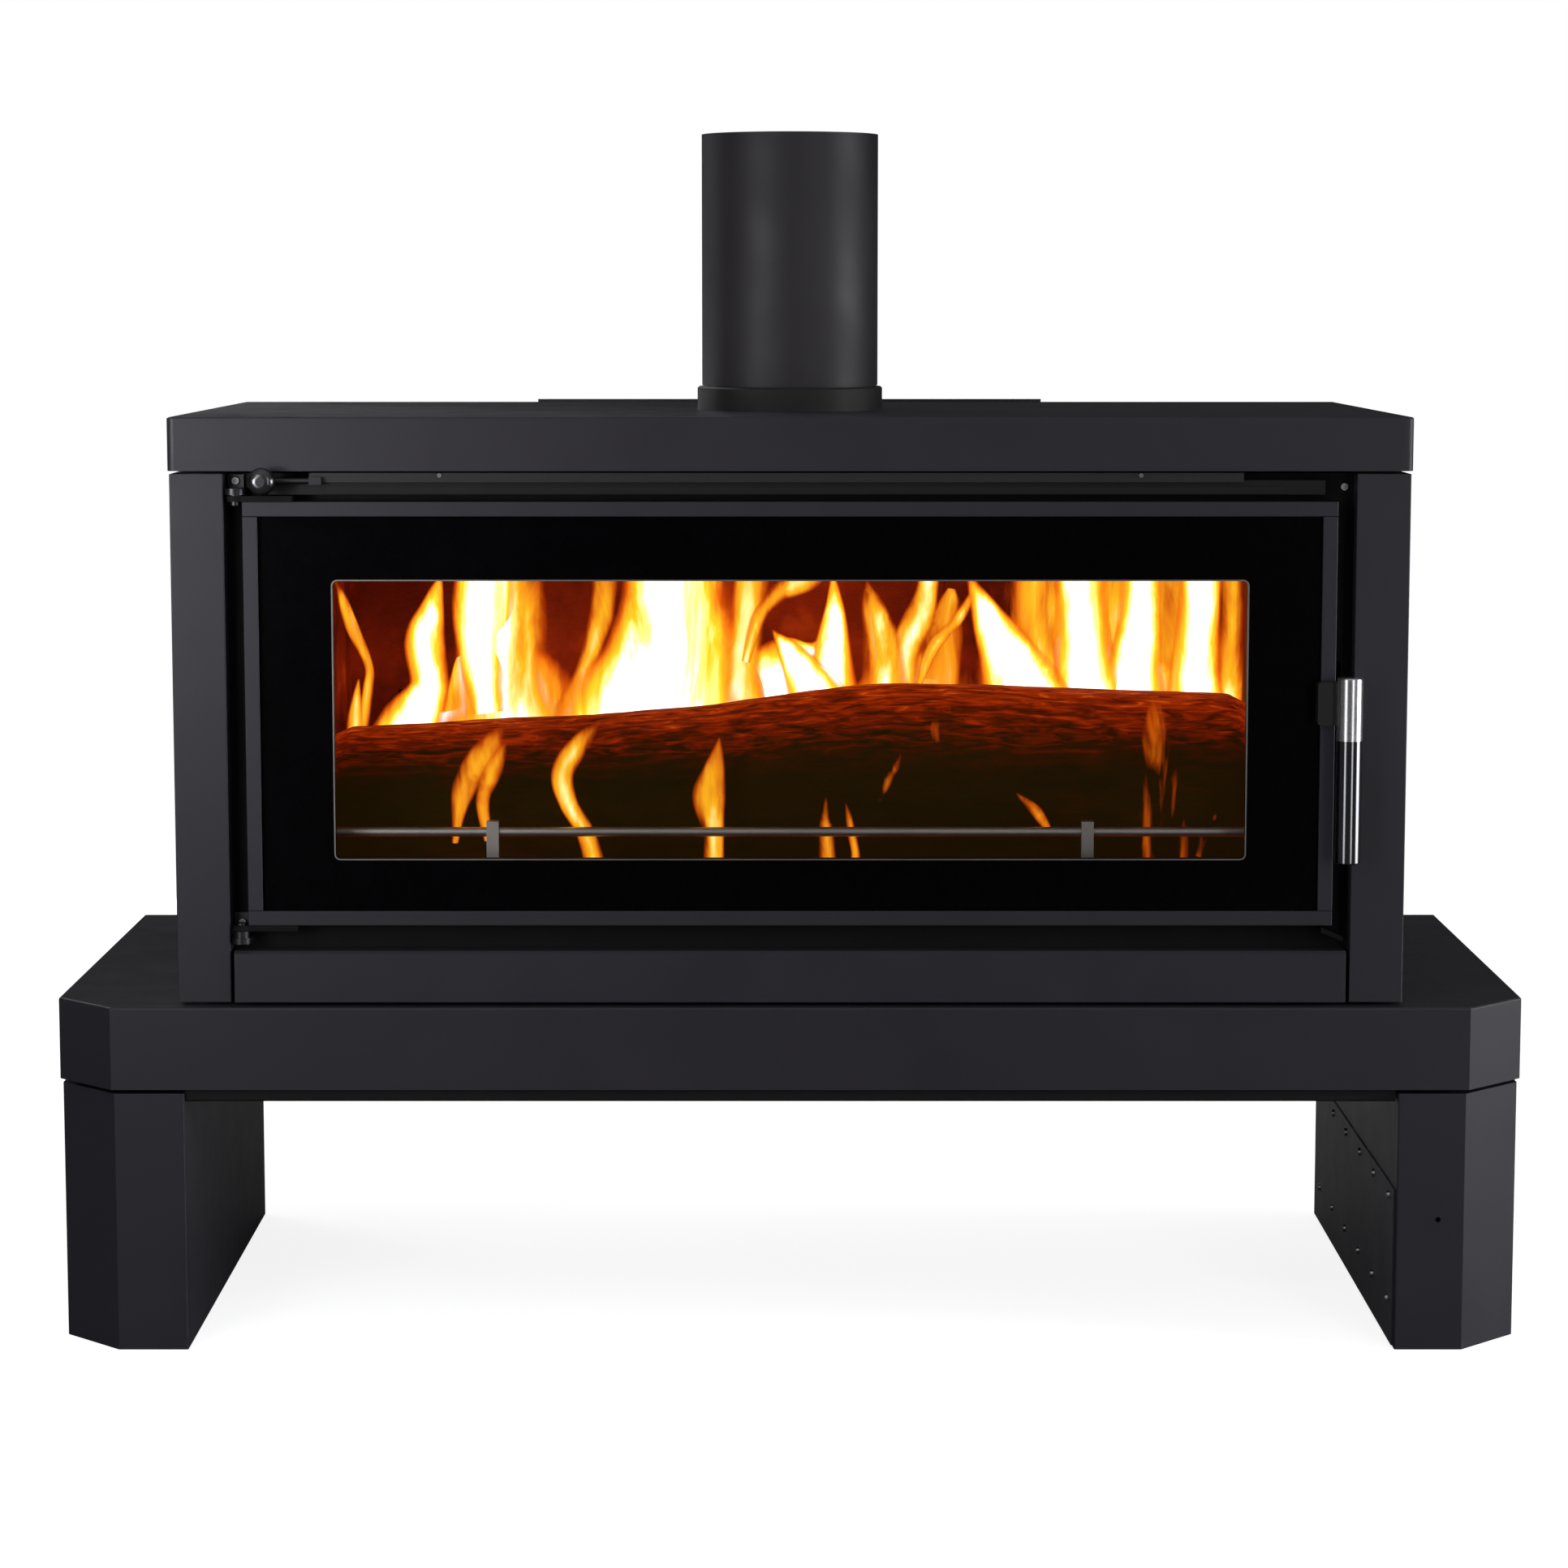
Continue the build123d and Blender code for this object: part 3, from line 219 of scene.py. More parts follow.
def braided(name, colour):
    """Glass-fibre rope: strands that cross at an angle, with loose fuzz, and painted shade in the grooves
    between the strands.
    """
    n = Nodes(name)
    strand = n.add("TexWave", {"wave_type": "BANDS", "bands_direction": "DIAGONAL"},
                   Vector=n.place(), Scale=180.0, Distortion=2.0, Detail=2.0)
    weave = strand.outputs["Fac"]
    # Painted shade: the colour darkens where the weave is low, in the grooves between the strands.
    spread = n.ramp(weave, [(0.2, shade(colour, 0.45)), (0.8, shade(colour, 1.3))])
    fuzz = n.math("ADD", weave, n.noise(1200.0, 2.0))
    shader = n.add("BsdfPrincipled", Base_Color=spread, Roughness=0.95,
                   Normal=n.bump(fuzz, 0.6, 0.0006))
    shader.inputs["Sheen Weight"].default_value = 0.3
    return n.surface(shader)


def bark(name, glow_strength):
    """Charring bark: long fissures, and a dull red glow where the fire lies on it. Below, it is black with
    a faint greenish-brown glow, which is painted firelight because that side does not burn.
    """
    n = Nodes(name)
    along = n.noise(170.0, 5.0, 0.65, at=n.place((0.20, 1, 1)), distortion=0.6)
    patch = n.noise(18.0, 4.0, 0.6, at=n.place((0.35, 1, 1)))
    char = n.ramp(patch, [(0.35, (0.006, 0.005, 0.0006)), (0.60, (0.018, 0.008, 0.0010)),
                          (0.80, (0.040, 0.009, 0.0015))])
    hot = n.add("Attribute", {"attribute_name": "glow"}).outputs["Fac"]
    streak = n.span(along, 0.35, 0.68, -0.50, 0.62, False)
    flare = n.math("MULTIPLY", streak, n.span(hot, 0.0, 0.5, 0.15, 0.8))
    smoulder = n.span(n.noise(5.0, 3.0, 0.6, at=n.place((0.6, 1, 1))), 0.48, 0.75, 0.0, 0.22)
    blaze = n.span(n.math("ADD", n.math("ADD", hot, flare), smoulder), 0.05, 1.55, 0.0, 1.0)
    # Painted firelight: the ramp's lowest stops make the whole log glow a faint greenish brown, its
    # unburnt lower side too.
    glow = n.ramp(blaze, [(0.0, (0.009, 0.0048, 0.0002)), (0.2, (0.028, 0.0048, 0.0002)),
                          (0.45, (0.13, 0.0080, 0.0003)), (0.75, (0.36, 0.026, 0.0008)),
                          (1.0, (0.75, 0.12, 0.006))])
    shader = n.add("BsdfPrincipled", Base_Color=char, Roughness=0.9,
                   Normal=n.bump(along, 0.7, 0.003))
    shader.inputs["Specular IOR Level"].default_value = 0.04
    n.put(shader.inputs["Emission Color"], glow)
    shader.inputs["Emission Strength"].default_value = glow_strength
    return n.surface(shader)


def embers():
    """Broken charcoal with glowing cracks under a skin of pale ash."""
    n = Nodes("embers")
    cracks = n.add("TexVoronoi", {"feature": "DISTANCE_TO_EDGE"}, Vector=n.place(), Scale=85.0)
    depth = n.span(cracks.outputs["Distance"], 0.0, 0.12, 1.0, 0.0)
    patch = n.span(n.noise(22.0, 3.0), 0.42, 0.66, 0.0, 1.0)
    heat = n.math("MULTIPLY", depth, patch)
    glow = n.ramp(heat, [(0.0, (0.012, 0.002, 0.0)), (0.4, (0.35, 0.03, 0.002)), (1.0, (1.0, 0.33, 0.05))])
    ash = n.ramp(n.noise(60.0, 4.0), [(0.4, (0.012, 0.010, 0.009)), (0.75, (0.10, 0.09, 0.085))])
    shader = n.add("BsdfPrincipled", Base_Color=ash, Roughness=0.95,
                   Normal=n.bump(n.noise(240.0, 4.0), 0.6, 0.002))
    n.put(shader.inputs["Emission Color"], glow)
    shader.inputs["Emission Strength"].default_value = 1.6
    return n.surface(shader)


def flame_glow(name, power, white):
    """Burning gas: white-hot in the core, through yellow and orange, to clear at its edge.

    The mesh attribute core is 0 at a tongue's edge and 1 in its core. A white of about 1 makes the
    core white, and a lower one leaves it yellow or orange.
    """
    n = Nodes(name)
    lick = n.noise(26.0, 4.0, 0.55, at=n.place((1.0, 1.0, 0.24)), distortion=0.9)
    wisp = n.noise(75.0, 3.0, 0.5, at=n.place((1.0, 1.0, 0.16)), distortion=0.5)
    heat = n.add("Attribute", {"attribute_name": "core"}).outputs["Fac"]
    stir = n.math("ADD", n.span(lick, 0.3, 0.7, -0.38, 0.30, False),
                  n.span(wisp, 0.3, 0.7, -0.10, 0.10, False))
    body = n.math("ADD", n.math("MULTIPLY", heat, white),
                  n.math("MULTIPLY", stir, n.span(heat, 0.0, 0.35, 0.2, 1.0)))
    glow = n.ramp(body, [(0.0, (0.75, 0.055, 0.001)), (0.16, (0.92, 0.13, 0.003)),
                         (0.34, (1.0, 0.30, 0.012)), (0.56, (1.0, 0.48, 0.015)),
                         (0.78, (1.0, 0.80, 0.25)), (0.97, (1.0, 0.98, 0.88))])
    strength = n.span(body, 0.1, 1.0, 0.8 * power, 1.6 * power)
    light = n.add("Emission", Color=glow, Strength=strength)
    clear = n.add("BsdfTransparent")
    mix = n.add("MixShader", Fac=n.span(body, 0.02, 0.45, 0.0, 1.0))
    n.put(mix.inputs[1], clear.outputs[0])
    n.put(mix.inputs[2], light.outputs[0])
    return n.surface(mix)


# ------------------------------------------------------------------ materials of the CAD nodes

CHARCOAL = (0.0270, 0.0245, 0.0345)
SLOT_MATERIALS = {
    "casing_paint": painted("charcoal_paint", CHARCOAL, 0.46),
    "firebox_steel": painted("matt_black_steel", (0.0055, 0.0050, 0.0060), 0.72, 0.10, 0.20, 0.20),
    "cast_flue": painted("cast_black", (0.012, 0.011, 0.012), 0.60, 0.22, 0.15, 0.4),
    "firebrick": fire_brick(),
    "bright_steel": metal("turned_steel", (0.30, 0.30, 0.31), 0.36),
    "heated_steel": metal("heated_steel", (0.46, 0.44, 0.43), 0.48, (0.2, 1, 1)),
    "polished_metal": metal("polished_metal", (0.80, 0.80, 0.84), 0.24, (1, 1, 4), 0.02),
    "black_chrome": metal("black_chrome", (0.22, 0.22, 0.24), 0.10, (1, 1, 4), 0.01),
    "knob_black": metal("knob_black", (0.13, 0.13, 0.14), 0.22),
    "ceramic_glass": clear_glass(),
    "rope_seal": braided("rope_seal", (0.075, 0.072, 0.070)),
    "firewood": bark("log_bark", 1.0),
}
DARK_STEEL = metal("dark_steel", (0.055, 0.055, 0.06), 0.38)
NODE_MATERIALS = {
    "air_slide": painted("slide_paint", (0.0200, 0.0180, 0.0230), 0.50),
    "hinge_brackets": DARK_STEEL,
    "hinge_pins": DARK_STEEL,
    "air_control_rod": DARK_STEEL,
    "latch_spindle": DARK_STEEL,
    # Painted shade: the air channel's paint is made near black, for the shade in its recess.
    "air_channel": painted("air_channel_painted_shade", (0.009, 0.0085, 0.009), 0.62, 0.08, 0.15, 0.3),
    # Painted shade: the bench's underside is painted near black, for the shade beneath the bench.
    "bench_underside": painted("underside_painted_shade", (0.007, 0.006, 0.007), 0.66, 0.08, 0.15, 0.3),
    "flue_pipe": painted("flue_paint", (0.0235, 0.0205, 0.0265), 0.52),
    "handle_lug": painted("lug_black", (0.012, 0.011, 0.012), 0.42, 0.04),
}


def paint_nodes():
    """Gives every CAD node the material of its slot, or its own."""
    for part in record["subparts"]:
        node = frame["nodes"][part["node"]]
        material = NODE_MATERIALS.get(part["node"], SLOT_MATERIALS[part["material_slot"]])
        node.data.materials.clear()
        node.data.materials.append(material)


# ------------------------------------------------------------------ mesh helpers

def make_piece(name, verts, faces, material, body, smooth=True, attributes=None):
    """A mesh object that rides on a body; attributes are per-vertex values by name."""
    mesh = bpy.data.meshes.new(name)
    mesh.from_pydata([tuple(v) for v in verts], [], faces)
    mesh.validate()
    mesh.update()
    for title, values in (attributes or {}).items():
        layer = mesh.attributes.new(title, "FLOAT", "POINT")
        layer.data.foreach_set("value", values)
    for polygon in mesh.polygons:
        polygon.use_smooth = smooth
    mesh.materials.append(material)
    piece = bpy.data.objects.new(name, mesh)
    scene.collection.objects.link(piece)
    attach(piece, body)
    return piece


def tube_faces(rings, sides, closed=False):
    """Faces between rings of vertices; the ends are capped unless the rings close on themselves."""
    faces = []
    for i in range(rings if closed else rings - 1):
        j = (i + 1) % rings
        for k in range(sides):
            m = (k + 1) % sides
            faces.append((i * sides + k, j * sides + k, j * sides + m, i * sides + m))
    if not closed:
        faces.append(tuple(range(sides)))
        faces.append(tuple(reversed(range((rings - 1) * sides, rings * sides))))
    return faces


def rounded_rectangle(half_x, low_z, high_z, radius, steps=6):
    """Points round a rectangle with round corners, in X and Z."""
    corners = ((half_x, low_z, -90), (half_x, high_z, 0), (-half_x, high_z, 90), (-half_x, low_z, 180))
    points = []
    for x, z, start in corners:
        centre_x = x - math.copysign(radius, x)
        centre_z = z + radius if z == low_z else z - radius
        for i in range(steps + 1):
            angle = math.radians(start + 90 * i / steps)
            points.append((centre_x + radius * math.cos(angle), centre_z + radius * math.sin(angle)))
    return points


def flat_ring(name, outer, inner, y, thickness, material, body):
    """A thin plate with a hole, facing the front, from two outlines with as many points."""
    count = len(outer)
    verts = []
    for depth in (y, y + thickness):
        for outline in (outer, inner):
            verts += [(x, depth, z) for x, z in outline]
    faces = []
    for i in range(count):
        j = (i + 1) % count
        faces.append((i, j, count + j, count + i))
        faces.append((2 * count + j, 2 * count + i, 3 * count + i, 3 * count + j))
        faces.append((j, i, 2 * count + i, 2 * count + j))
        faces.append((count + i, count + j, 3 * count + j, 3 * count + i))
    return make_piece(name, verts, faces, material, body, smooth=False)


# ------------------------------------------------------------------ door glass print and painted highlight round the window

def glass_print():
    """The black enamel border just inside the glass's back, and beside it a thin bright ring round the
    window that is a painted highlight on the window's edge.
    """
    low, high = DOOR_GLASS
    back = high.y - 0.75 * MM
    margin = 1 * MM
    window = rounded_rectangle(WINDOW_HALF, *WINDOW_Z, WINDOW_R)
    edge = rounded_rectangle(high.x - margin, low.z + margin, high.z - margin, 2 * MM)
    black = gloss_black("border_print", (0.0016, 0.0012, 0.0022), 0.20, 0.06)
    flat_ring("glass_border_print", edge, window, back, 0.3 * MM, black, "door")
    # Painted highlight: a thin bright metal ring round the window stands for light caught on the window's
    # edge.
    lip = 1.1 * MM
    inner = rounded_rectangle(WINDOW_HALF - lip, WINDOW_Z[0] + lip, WINDOW_Z[1] - lip, WINDOW_R - lip)
    bright = metal("painted_window_highlight_metal", (0.34, 0.32, 0.32), 0.40)
    flat_ring("painted_window_highlight", window, inner, back, 0.6 * MM, bright, "door")


# ------------------------------------------------------------------ rope seal

def rope_seal():
    """A braided rope in the channel round the back of the door."""
    low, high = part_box("door_rope_gasket")
    radius = 6.0 * MM
    corner = 16 * MM
    step = 2.2 * MM
    sides = 16
    twist = 0.85
    middle_y = (low.y + high.y) / 2
    route = rounded_rectangle(high.x - radius, low.z + radius, high.z - radius, corner, 8)
    spine = []
    for (x0, z0), (x1, z1) in zip(route, route[1:] + route[:1]):
        length = math.hypot(x1 - x0, z1 - z0)
        count = max(1, round(length / step))
        spine += [(x0 + (x1 - x0) * i / count, z0 + (z1 - z0) * i / count) for i in range(count)]
    verts = []
    for i, (x, z) in enumerate(spine):
        ahead, behind = spine[(i + 1) % len(spine)], spine[i - 1]
        direction = Vector((ahead[0] - behind[0], 0, ahead[1] - behind[1])).normalized()
        outward = direction.cross(Vector((0, 1, 0)))
        for k in range(sides):
            angle = 2 * math.pi * k / sides
            strand = math.sin(3 * angle + i * twist) * math.sin(3 * angle - i * twist)
            reach = radius * (0.93 + 0.06 * strand)
            offset = outward * math.cos(angle) * reach + Vector((0, 1, 0)) * math.sin(angle) * reach
            verts.append(Vector((x, middle_y, z)) + offset)
    faces = tube_faces(len(spine), sides, closed=True)
    rope = make_piece("braided_door_rope", verts, faces, SLOT_MATERIALS["rope_seal"], "door")
    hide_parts("door_rope_gasket")


# ------------------------------------------------------------------ firewood and embers

FLOOR_GAP = 0.5 * MM
LUMP_AT, LUMP_WIDTH = 0.635, 0.25
END_ROUNDING, END_SHARE = 0.10, 0.04


def make_log(name, half_length, ends, y, seed, material, lump=0.0):
    """A bark-covered log from its end radii, with ridges along it and a lump in its upper side.

    The attribute glow is 0 on its lower side and 1 along its crest.
    """
    rings, sides = 220, 120
    verts, glow = [], []
    for i in range(rings):
        t = i / (rings - 1)
        x = -half_length + 2 * half_length * t
        radius = ends[0] + (ends[1] - ends[0]) * t
        centre = FIRE_FLOOR + radius
        swell = lump * math.exp(-((t - LUMP_AT) / LUMP_WIDTH) ** 2)
        past_end = max(0.0, abs(2 * t - 1) - (1 - END_SHARE))
        taper = 1 - END_ROUNDING * past_end / END_SHARE
        for k in range(sides):
            angle = 2 * math.pi * k / sides
            around = Vector((math.cos(angle), math.sin(angle)))
            ridge = noise.fractal(Vector((x * 7 + seed, around.x * 9, around.y * 9)), 0.9, 2.1, 4)
            broad = noise.noise(Vector((x * 5 + seed, around.x * 2.2, around.y * 2.2)))
            reach = radius * (0.955 + 0.022 * broad) + 2.2 * MM * min(ridge, 1.0)
            reach += swell * max(around.y, 0.0)
            height = centre + around.y * reach * taper
            verts.append((x, y + around.x * reach * taper, max(height, FIRE_FLOOR + FLOOR_GAP)))
            glow.append(max(0.0, (around.y - 0.30) / 0.70) ** 1.3)
    return make_piece(name, verts, tube_faces(rings, sides), material, "root",
                      attributes={"glow": glow})


def firewood():
    """The two logs that take the place of the plain ones."""
    front = make_log("front_log", 385 * MM, (69 * MM, 82 * MM), -80 * MM, 3.1,
                     SLOT_MATERIALS["firewood"], 20 * MM)
    make_log("rear_log", 300 * MM, (57 * MM, 60 * MM), 75 * MM, 9.7, bark("rear_bark", 2.2))
    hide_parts("fire_logs")


def ember_bed():
    """Charcoal lumps scattered over the floor bricks in front of and between the logs."""
    rng = random.Random(41)
    lumps, sides = 420, 6
    # Height and width of each of a lump's three rings, as shares of its size.
    levels = ((0.0, 1.0), (0.55, 1.05), (1.0, 0.55))
    verts, faces = [], []
    for _ in range(lumps):
        x = rng.uniform(-372, 372) * MM
        y = rng.choice((rng.uniform(-178, -158), rng.uniform(-165, 12), rng.uniform(-12, 20))) * MM
        size = rng.uniform(3.0, 8.0) * MM
        base = len(verts)
        turn = rng.uniform(0, math.pi)
        for level, spread in levels:
            for k in range(sides):
                angle = turn + math.pi * k / 3
                reach = size * spread * rng.uniform(0.75, 1.15)
                verts.append((x + reach * math.cos(angle), y + reach * math.sin(angle),
                              FIRE_FLOOR + 0.4 * MM + size * level * rng.uniform(0.85, 1.0)))
        faces += [tuple(base + i for i in face) for face in tube_faces(len(levels), sides)]
    make_piece("ember_bed", verts, faces, embers(), "root", smooth=False)


# ------------------------------------------------------------------ flames

def smooth_path(points, rows):
    """Catmull-Rom samples through given points."""
    padded = [points[0]] + list(points) + [points[-1]]
    samples = []
    for i in range(rows):
        t = i / (rows - 1) * (len(points) - 1)
        k = min(int(t), len(points) - 2)
        f = t - k
        a, b, c, d = padded[k:k + 4]
        samples.append(tuple(
            0.5 * (2 * q + (r - p) * f + (2 * p - 5 * q + 4 * r - s) * f * f
                   + (3 * q - p - 3 * r + s) * f ** 3)
            for p, q, r, s in zip(a, b, c, d)
        ))
    return samples


def flame(name, points, y, material, lean=0.0, thick=7.0, heat_top=0.75):
    """A closed tongue of flame through (x, z, half width) points in mm, from its root to its tip.

    It leans back by lean on its way up and is at most 2 * thick deep. Its core cools to heat_top at
    the top, and the attribute core fades near a pointed tip.
    """
    rows, sides = 44, 24
    ring = [(math.cos(a), math.sin(a)) for a in (2 * math.pi * k / sides for k in range(sides))]
    path = smooth_path(points, rows)
    pointed = path[-1][2] <= 3
    verts, heat = [], []
    for i, (x, z, half) in enumerate(path):
        rise = i / (rows - 1)
        ahead, behind = path[min(i + 1, rows - 1)], path[max(i - 1, 0)]
        direction = Vector((ahead[0] - behind[0], ahead[1] - behind[1])).normalized()
        across = Vector((direction.y, -direction.x))
        half = max(half, 0.25)
        sway = 3.0 * math.sin(rise * 7 + x * 0.05)
        fade = min(1.0, (1 - rise) / 0.3 + 0.1) if pointed else 1.0
        for u, v in ring:
            bulge = min(thick, half) * v
            verts.append(((x + across.x * half * u) * MM, (y + lean * rise + sway + bulge) * MM,
                          (z + across.y * half * u) * MM))
            core = 1 - abs(u) ** 1.4
            heat.append(core * (1 - (1 - heat_top) * rise) * fade)
    make_piece(name, verts, tube_faces(rows, sides), material, "root",
               attributes={"core": heat})


# Root, bends and tip of each tongue: (x, z, half width) in mm; then its y in mm and its heat.
# A tongue that is still wide at ROOF is one that spreads under the baffle. The last rows of
# WALL_FLAMES are low mounds of flame behind the front log.
ROOF = 637
WALL_FLAMES = [
    (((-372, 480, 6), (-366, 520, 5), (-365, 542, 4), (-379, 575, 6), (-392, 612, 4), (-396, 634, 1)),
     10, 0.45),
    (((-377, 474, 9), (-376, 500, 7), (-374, 529, 1)), 4, 0.60),
    (((-332, 472, 40), (-328, 490, 30), (-313, 522, 19), (-317, 560, 19), (-310, 592, 11), (-301, 622, 1)),
     12, 1.25),
    (((-250, 470, 74), (-248, 500, 56), (-252, 545, 44), (-251, 590, 41), (-253, ROOF, 39)), 20, 0.88),
    (((-262, 500, 14), (-268, 550, 22), (-266, 590, 28), (-262, ROOF, 26)), 16, 1.10),
    (((-190, 490, 22), (-180, 530, 10), (-171, 560, 10), (-160, 600, 14), (-157, ROOF, 17)), 34, 0.60),
    (((-118, 470, 96), (-113, 505, 84), (-104, 545, 60), (-98, 590, 52), (-98, ROOF, 50)), 14, 1.45),
    (((-52, 470, 46), (-47, 530, 24), (-38, 580, 18), (-33, ROOF, 19)), 28, 0.80),
    (((-38, 545, 4), (-28, 580, 7), (-10, 603, 9), (14, 620, 15), (24, ROOF, 18)), 8, 0.62),
    (((34, 486, 46), (20, 520, 26), (2, 550, 13), (-16, 573, 1)), 4, 1.15),
    (((36, 470, 40), (35, 520, 27), (37, 555, 17), (39, 590, 9), (37, 624, 1)), 16, 1.20),
    (((82, 474, 40), (82, 525, 22), (80, 560, 18), (72, 590, 12), (67, 614, 1)), 26, 0.70),
    (((90, 490, 24), (98, 545, 15), (113, 580, 14), (120, 605, 10), (123, ROOF, 9)), 40, 0.75),
    (((130, 486, 36), (132, 540, 30), (138, 575, 20), (142, 604, 4)), 48, 0.26),
    (((112, 525, 3), (124, 556, 6), (144, 580, 6), (160, 604, 4), (166, 630, 2)), 12, 0.50),
    (((214, 470, 58), (202, 520, 38), (186, 555, 25), (168, 590, 13), (153, 624, 1)), 6, 1.35),
    (((226, 480, 30), (219, 540, 18), (212, 590, 18), (214, ROOF, 19)), 30, 0.90),
    (((264, 470, 46), (259, 520, 31), (252, 575, 27), (252, ROOF, 26)), 16, 1.35),
    (((300, 470, 44), (298, 520, 30), (304, 575, 20), (304, ROOF, 20)), 22, 1.30),
    (((352, 470, 36), (352, 520, 26), (354, 580, 20), (356, ROOF, 19)), 12, 1.15),
    (((382, 470, 18), (384, 540, 13), (386, ROOF, 12)), 34, 0.60),
    (((278, 470, 126), (282, 540, 120), (282, ROOF, 118)), 52, 0.55),
    (((-262, 462, 104), (-262, 492, 96), (-266, 512, 70), (-280, 530, 30), (-290, 545, 4)), 56, 1.30),
    (((-112, 462, 120), (-112, 500, 112), (-116, 528, 84), (-128, 550, 40), (-136, 562, 4)), 58, 1.40),
    (((14, 466, 80), (14, 510, 74), (20, 532, 52), (30, 548, 22), (34, 560, 3)), 60, 1.10),
    (((96, 466, 62), (96, 506, 56), (92, 530, 40), (84, 548, 18), (80, 558, 3)), 59, 0.80),
    (((270, 466, 130), (270, 512, 124), (272, 538, 110), (276, 556, 60), (280, 572, 4)), 58, 1.30),
]
FRONT_FLAMES = [
    (((-276, 412, 3), (-274, 436, 7), (-268, 458, 11), (-250, 486, 12), (-228, 515, 2)), -176, 0.50),
    (((-248, 414, 4), (-253, 446, 6), (-243, 474, 8), (-228, 504, 1)), -179, 0.42),
    (((-158, 384, 10), (-168, 420, 8), (-182, 444, 8), (-187, 470, 10), (-172, 494, 9), (-150, 519, 1)),
     -178, 0.88),
    (((-63, 384, 9), (-63, 420, 9), (-67, 450, 14), (-62, 474, 9), (-58, 499, 1)), -177, 0.55),
    (((31, 384, 8), (31, 410, 8), (29, 432, 5), (30, 453, 1)), -176, 0.48),
    (((51, 384, 5), (54, 402, 4), (50, 424, 4), (46, 445, 1)), -176, 0.52),
    (((71, 430, 3), (74, 446, 5), (84, 468, 5), (91, 486, 1)), -177, 0.34),
    (((124, 488, 3), (122, 506, 7), (130, 522, 6), (126, 540, 2)), -172, 0.22),
    (((307, 384, 22), (306, 430, 22), (304, 470, 19), (303, 505, 14), (305, 538, 7)), -174, 0.17),
    (((212, 424, 3), (202, 438, 5), (186, 453, 1)), -176, 0.24),
    (((338, 400, 5), (346, 424, 5), (352, 440, 1)), -176, 0.22),
]


WHITE_HOT = 0.9


def fire():
    """The tall flames behind the front log, and the small ones between it and the glass."""
    hot = flame_glow("flame_hot", 1.5, 1.5)
    for i, (points, y, white) in enumerate(WALL_FLAMES):
        material = hot if white > WHITE_HOT else flame_glow(f"flame_warm_{i}", 1.05, white * 1.25)
        flame(f"wall_flame_{i + 1:02d}", points, y, material, lean=10.0)
    for i, (points, y, white) in enumerate(FRONT_FLAMES):
        flame(f"front_flame_{i + 1:02d}", points, y, flame_glow(f"flame_front_{i}", 0.95, white * 0.9),
              thick=3.0, heat_top=0.8)


# ------------------------------------------------------------------ floor, light and camera

# Name, place, target, size, power in watts, and the beam's spread in degrees where it is narrow.
STUDIO_LIGHTS = (
    ("left_key", (-1.25, -1.40, 0.72), (-0.58, -0.26, 0.76), (0.4, 0.4), 0.62, 42.0),
    ("rear_fill", (-0.35, 2.4, 0.2), (0.0, 0.26, 0.4), (1.5, 0.3), 5.0),
    ("cap_beam", (-1.70, 1.60, 1.60), (-0.42, 0.0, 0.72), (0.3, 0.3), 0.55, 18.0),
    ("left_softbox", (-1.15, -2.00, 0.95), (0.1, -0.2, 0.5), (0.70, 1.9), 9.4),
    ("right_softbox", (1.35, -2.60, 0.95), (0.3, -0.2, 0.5), (0.60, 1.9), 7.4),
    ("right_panel", (3.0, -0.55, 0.45), (0.6, -0.1, 0.12), (1.9, 1.5), 7.6, 50.0),
    ("rear_softbox", (-2.6, 1.9, 1.9), (-0.3, 0.2, 0.4), (1.2, 1.2), 9),
)


def area_light(name, place, target, size, power, spread=180.0):
    """A soft panel that faces its target; spread in degrees keeps its light in a beam."""
    lamp = bpy.data.lights.new(name, "AREA")
    lamp.shape = "RECTANGLE"
    lamp.size, lamp.size_y = size
    lamp.energy = power
    lamp.spread = math.radians(spread)
    light = bpy.data.objects.new(name, lamp)
    light.location = place
    light.rotation_euler = (Vector(target) - Vector(place)).to_track_quat("-Z", "Y").to_euler()
    light.visible_camera = False
    scene.collection.objects.link(light)


def pale_floor():
    """A plain floor, as white as the surround where the camera sees it, with a soft shadow.

    It is darker to other rays, so that it throws little light up at the stove.
    """
    n = Nodes("floor_white")
    dim = n.add("BsdfDiffuse", Color=(0.22, 0.22, 0.22, 1))
    lit = n.add("BsdfDiffuse", Color=(0.82, 0.82, 0.82, 1))
    white = n.add("Emission", Color=(1, 1, 1, 1), Strength=0.84)
    seen = n.add("AddShader")
    n.put(seen.inputs[0], lit.outputs[0])
    n.put(seen.inputs[1], white.outputs[0])
    mix = n.add("MixShader", Fac=n.add("LightPath").outputs["Is Camera Ray"])
    n.put(mix.inputs[1], dim.outputs[0])
    n.put(mix.inputs[2], seen.outputs[0])
    material = n.surface(mix)
    reach, depth = 30.0, 0.5 * MM
    signs = ((-1, -1), (1, -1), (1, 1), (-1, 1))
    corners = [(reach * across, reach * along, -depth) for across, along in signs]
    mesh = bpy.data.meshes.new("pale_floor")
    mesh.from_pydata(corners, [], [(0, 1, 2, 3)])
    mesh.materials.append(material)
    floor = bpy.data.objects.new("pale_floor", mesh)
    scene.collection.objects.link(floor)


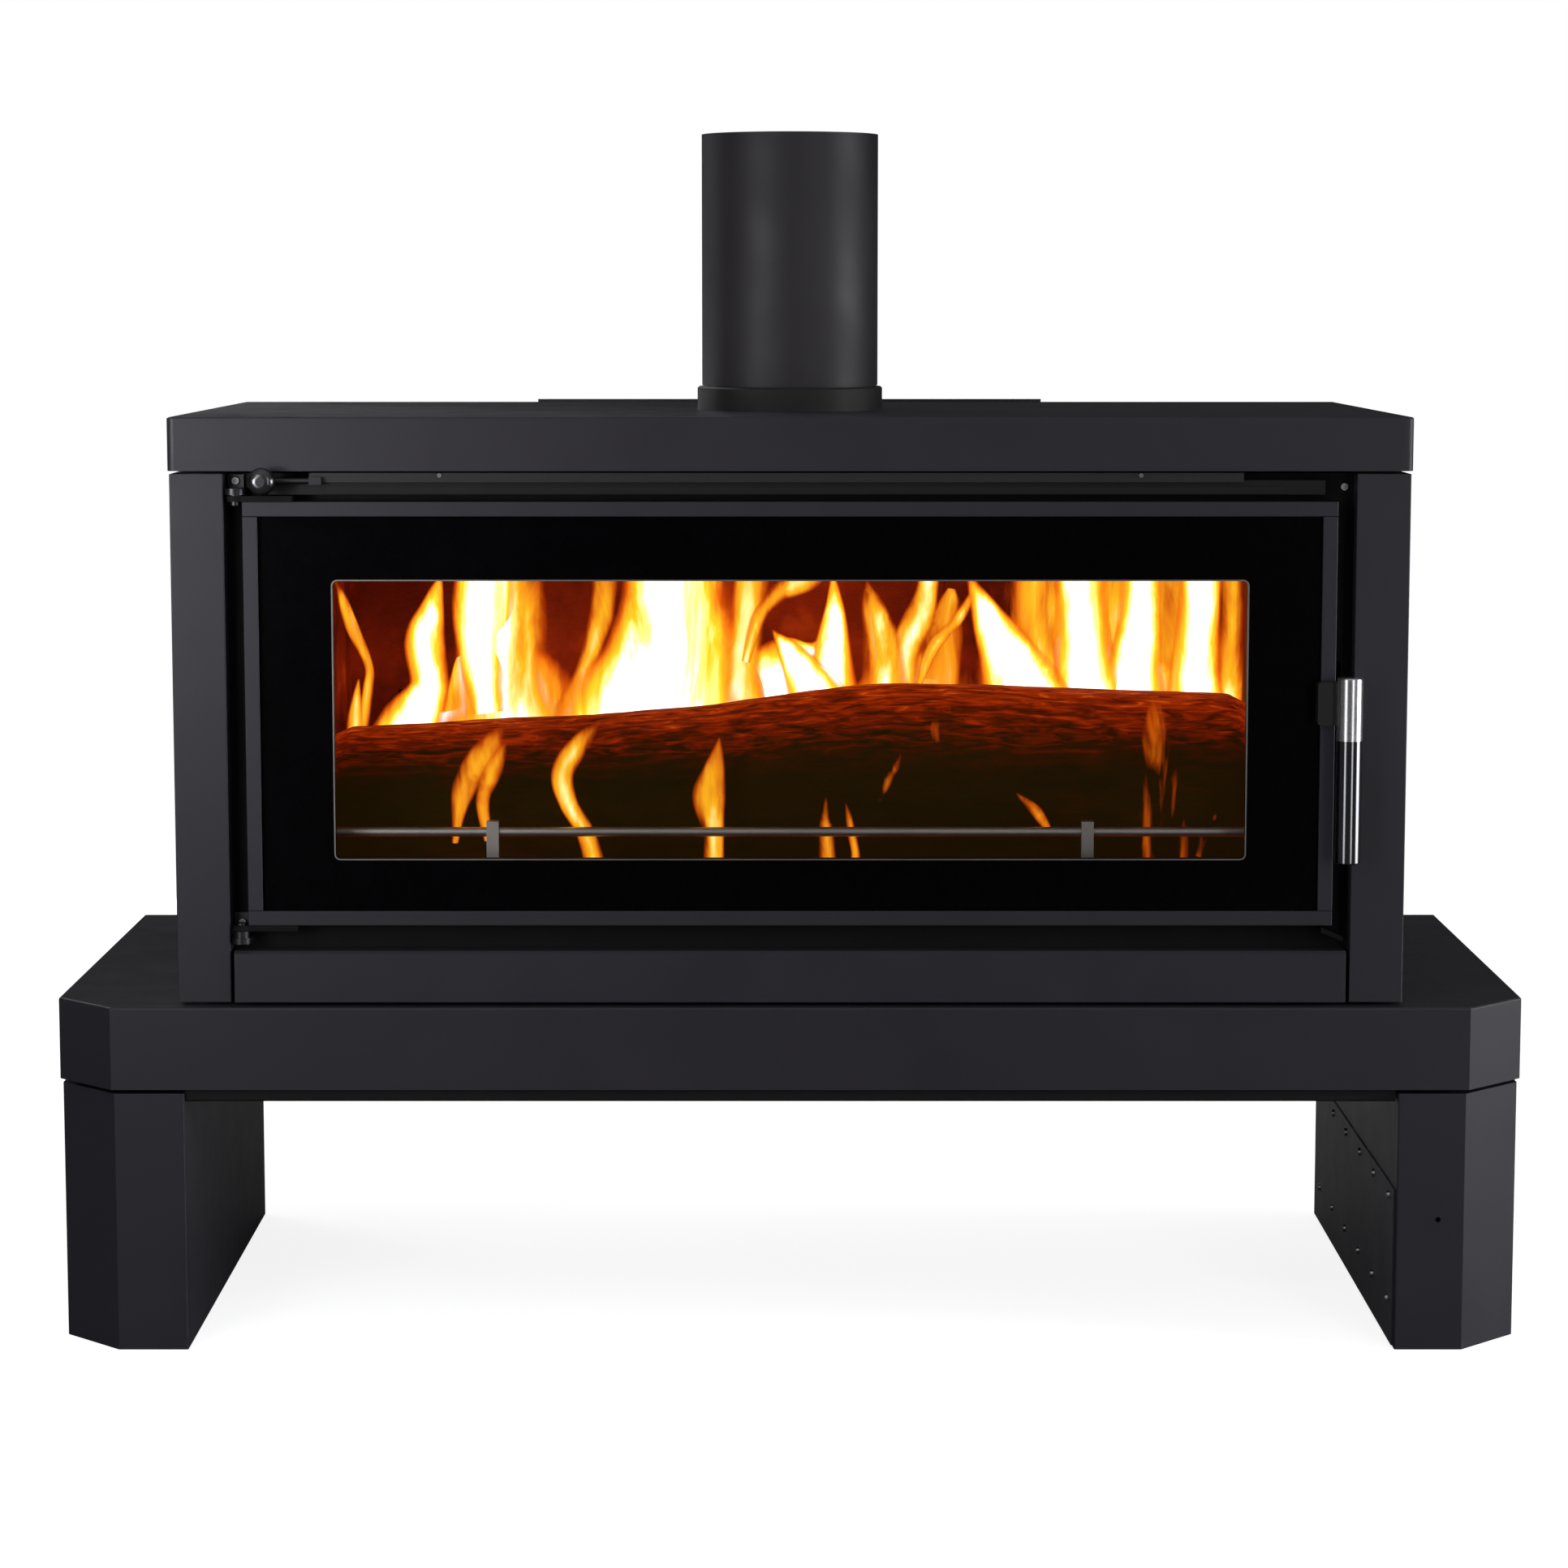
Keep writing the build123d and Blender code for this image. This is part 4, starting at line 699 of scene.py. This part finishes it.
def studio():
    """A dim studio, seen as a white surround, with soft panels on all sides.

    It is grey in front and overhead and dark behind, so that the tops stay dark and the glass black.
    """
    world = bpy.data.worlds.new("studio_world")
    world.use_nodes = True
    tree = world.node_tree
    tree.nodes.clear()

    def add(kind, **inputs):
        node = tree.nodes.new("ShaderNode" + kind)
        for name, value in inputs.items():
            socket = node.inputs[name]
            if isinstance(value, bpy.types.NodeSocket):
                tree.links.new(value, socket)
            else:
                socket.default_value = value
        return node

    direction = add("SeparateXYZ", Vector=add("TexCoord").outputs["Generated"])
    strength = []
    overhead, in_front = ("Z", 0.35, 1.0, 0.0, 0.30), ("Y", 0.2, -0.8, 0.02, 0.17)
    for axis, low, high, dim, bright in (overhead, in_front):
        part = add("MapRange", Value=direction.outputs[axis])
        for socket, value in zip(part.inputs[1:5], (low, high, dim, bright)):
            socket.default_value = value
        strength.append(part.outputs[0])
    total = add("Math")
    for socket, value in zip(total.inputs, strength):
        tree.links.new(value, socket)
    room = add("Background", Color=(1, 1, 1, 1), Strength=total.outputs[0])
    white = add("Background", Color=(1, 1, 1, 1), Strength=1.0)
    mix = add("MixShader")
    tree.links.new(add("LightPath").outputs["Is Camera Ray"], mix.inputs[0])
    tree.links.new(room.outputs[0], mix.inputs[1])
    tree.links.new(white.outputs[0], mix.inputs[2])
    tree.links.new(mix.outputs[0], add("OutputWorld").inputs["Surface"])
    scene.world = world

    for panel in STUDIO_LIGHTS:
        area_light(*panel)
    pale_floor()


def camera():
    """The view that the photograph was taken from: level with the flue, looking a little down."""
    distance, side, height = 3.240, -0.005, 0.858
    tilt = 6.864
    data = bpy.data.cameras.new("camera")
    data.sensor_width = 36.0
    data.lens = 92.86
    data.clip_end = 100.0
    eye = bpy.data.objects.new("camera", data)
    eye.location = (side, BENCH[0].y - distance, height)
    eye.rotation_euler = (math.radians(90 - tilt), 0, 0)
    scene.collection.objects.link(eye)
    scene.camera = eye


paint_nodes()
glass_print()
rope_seal()
firewood()
ember_bed()
fire()
studio()
camera()
scene.view_settings.view_transform = "Standard"
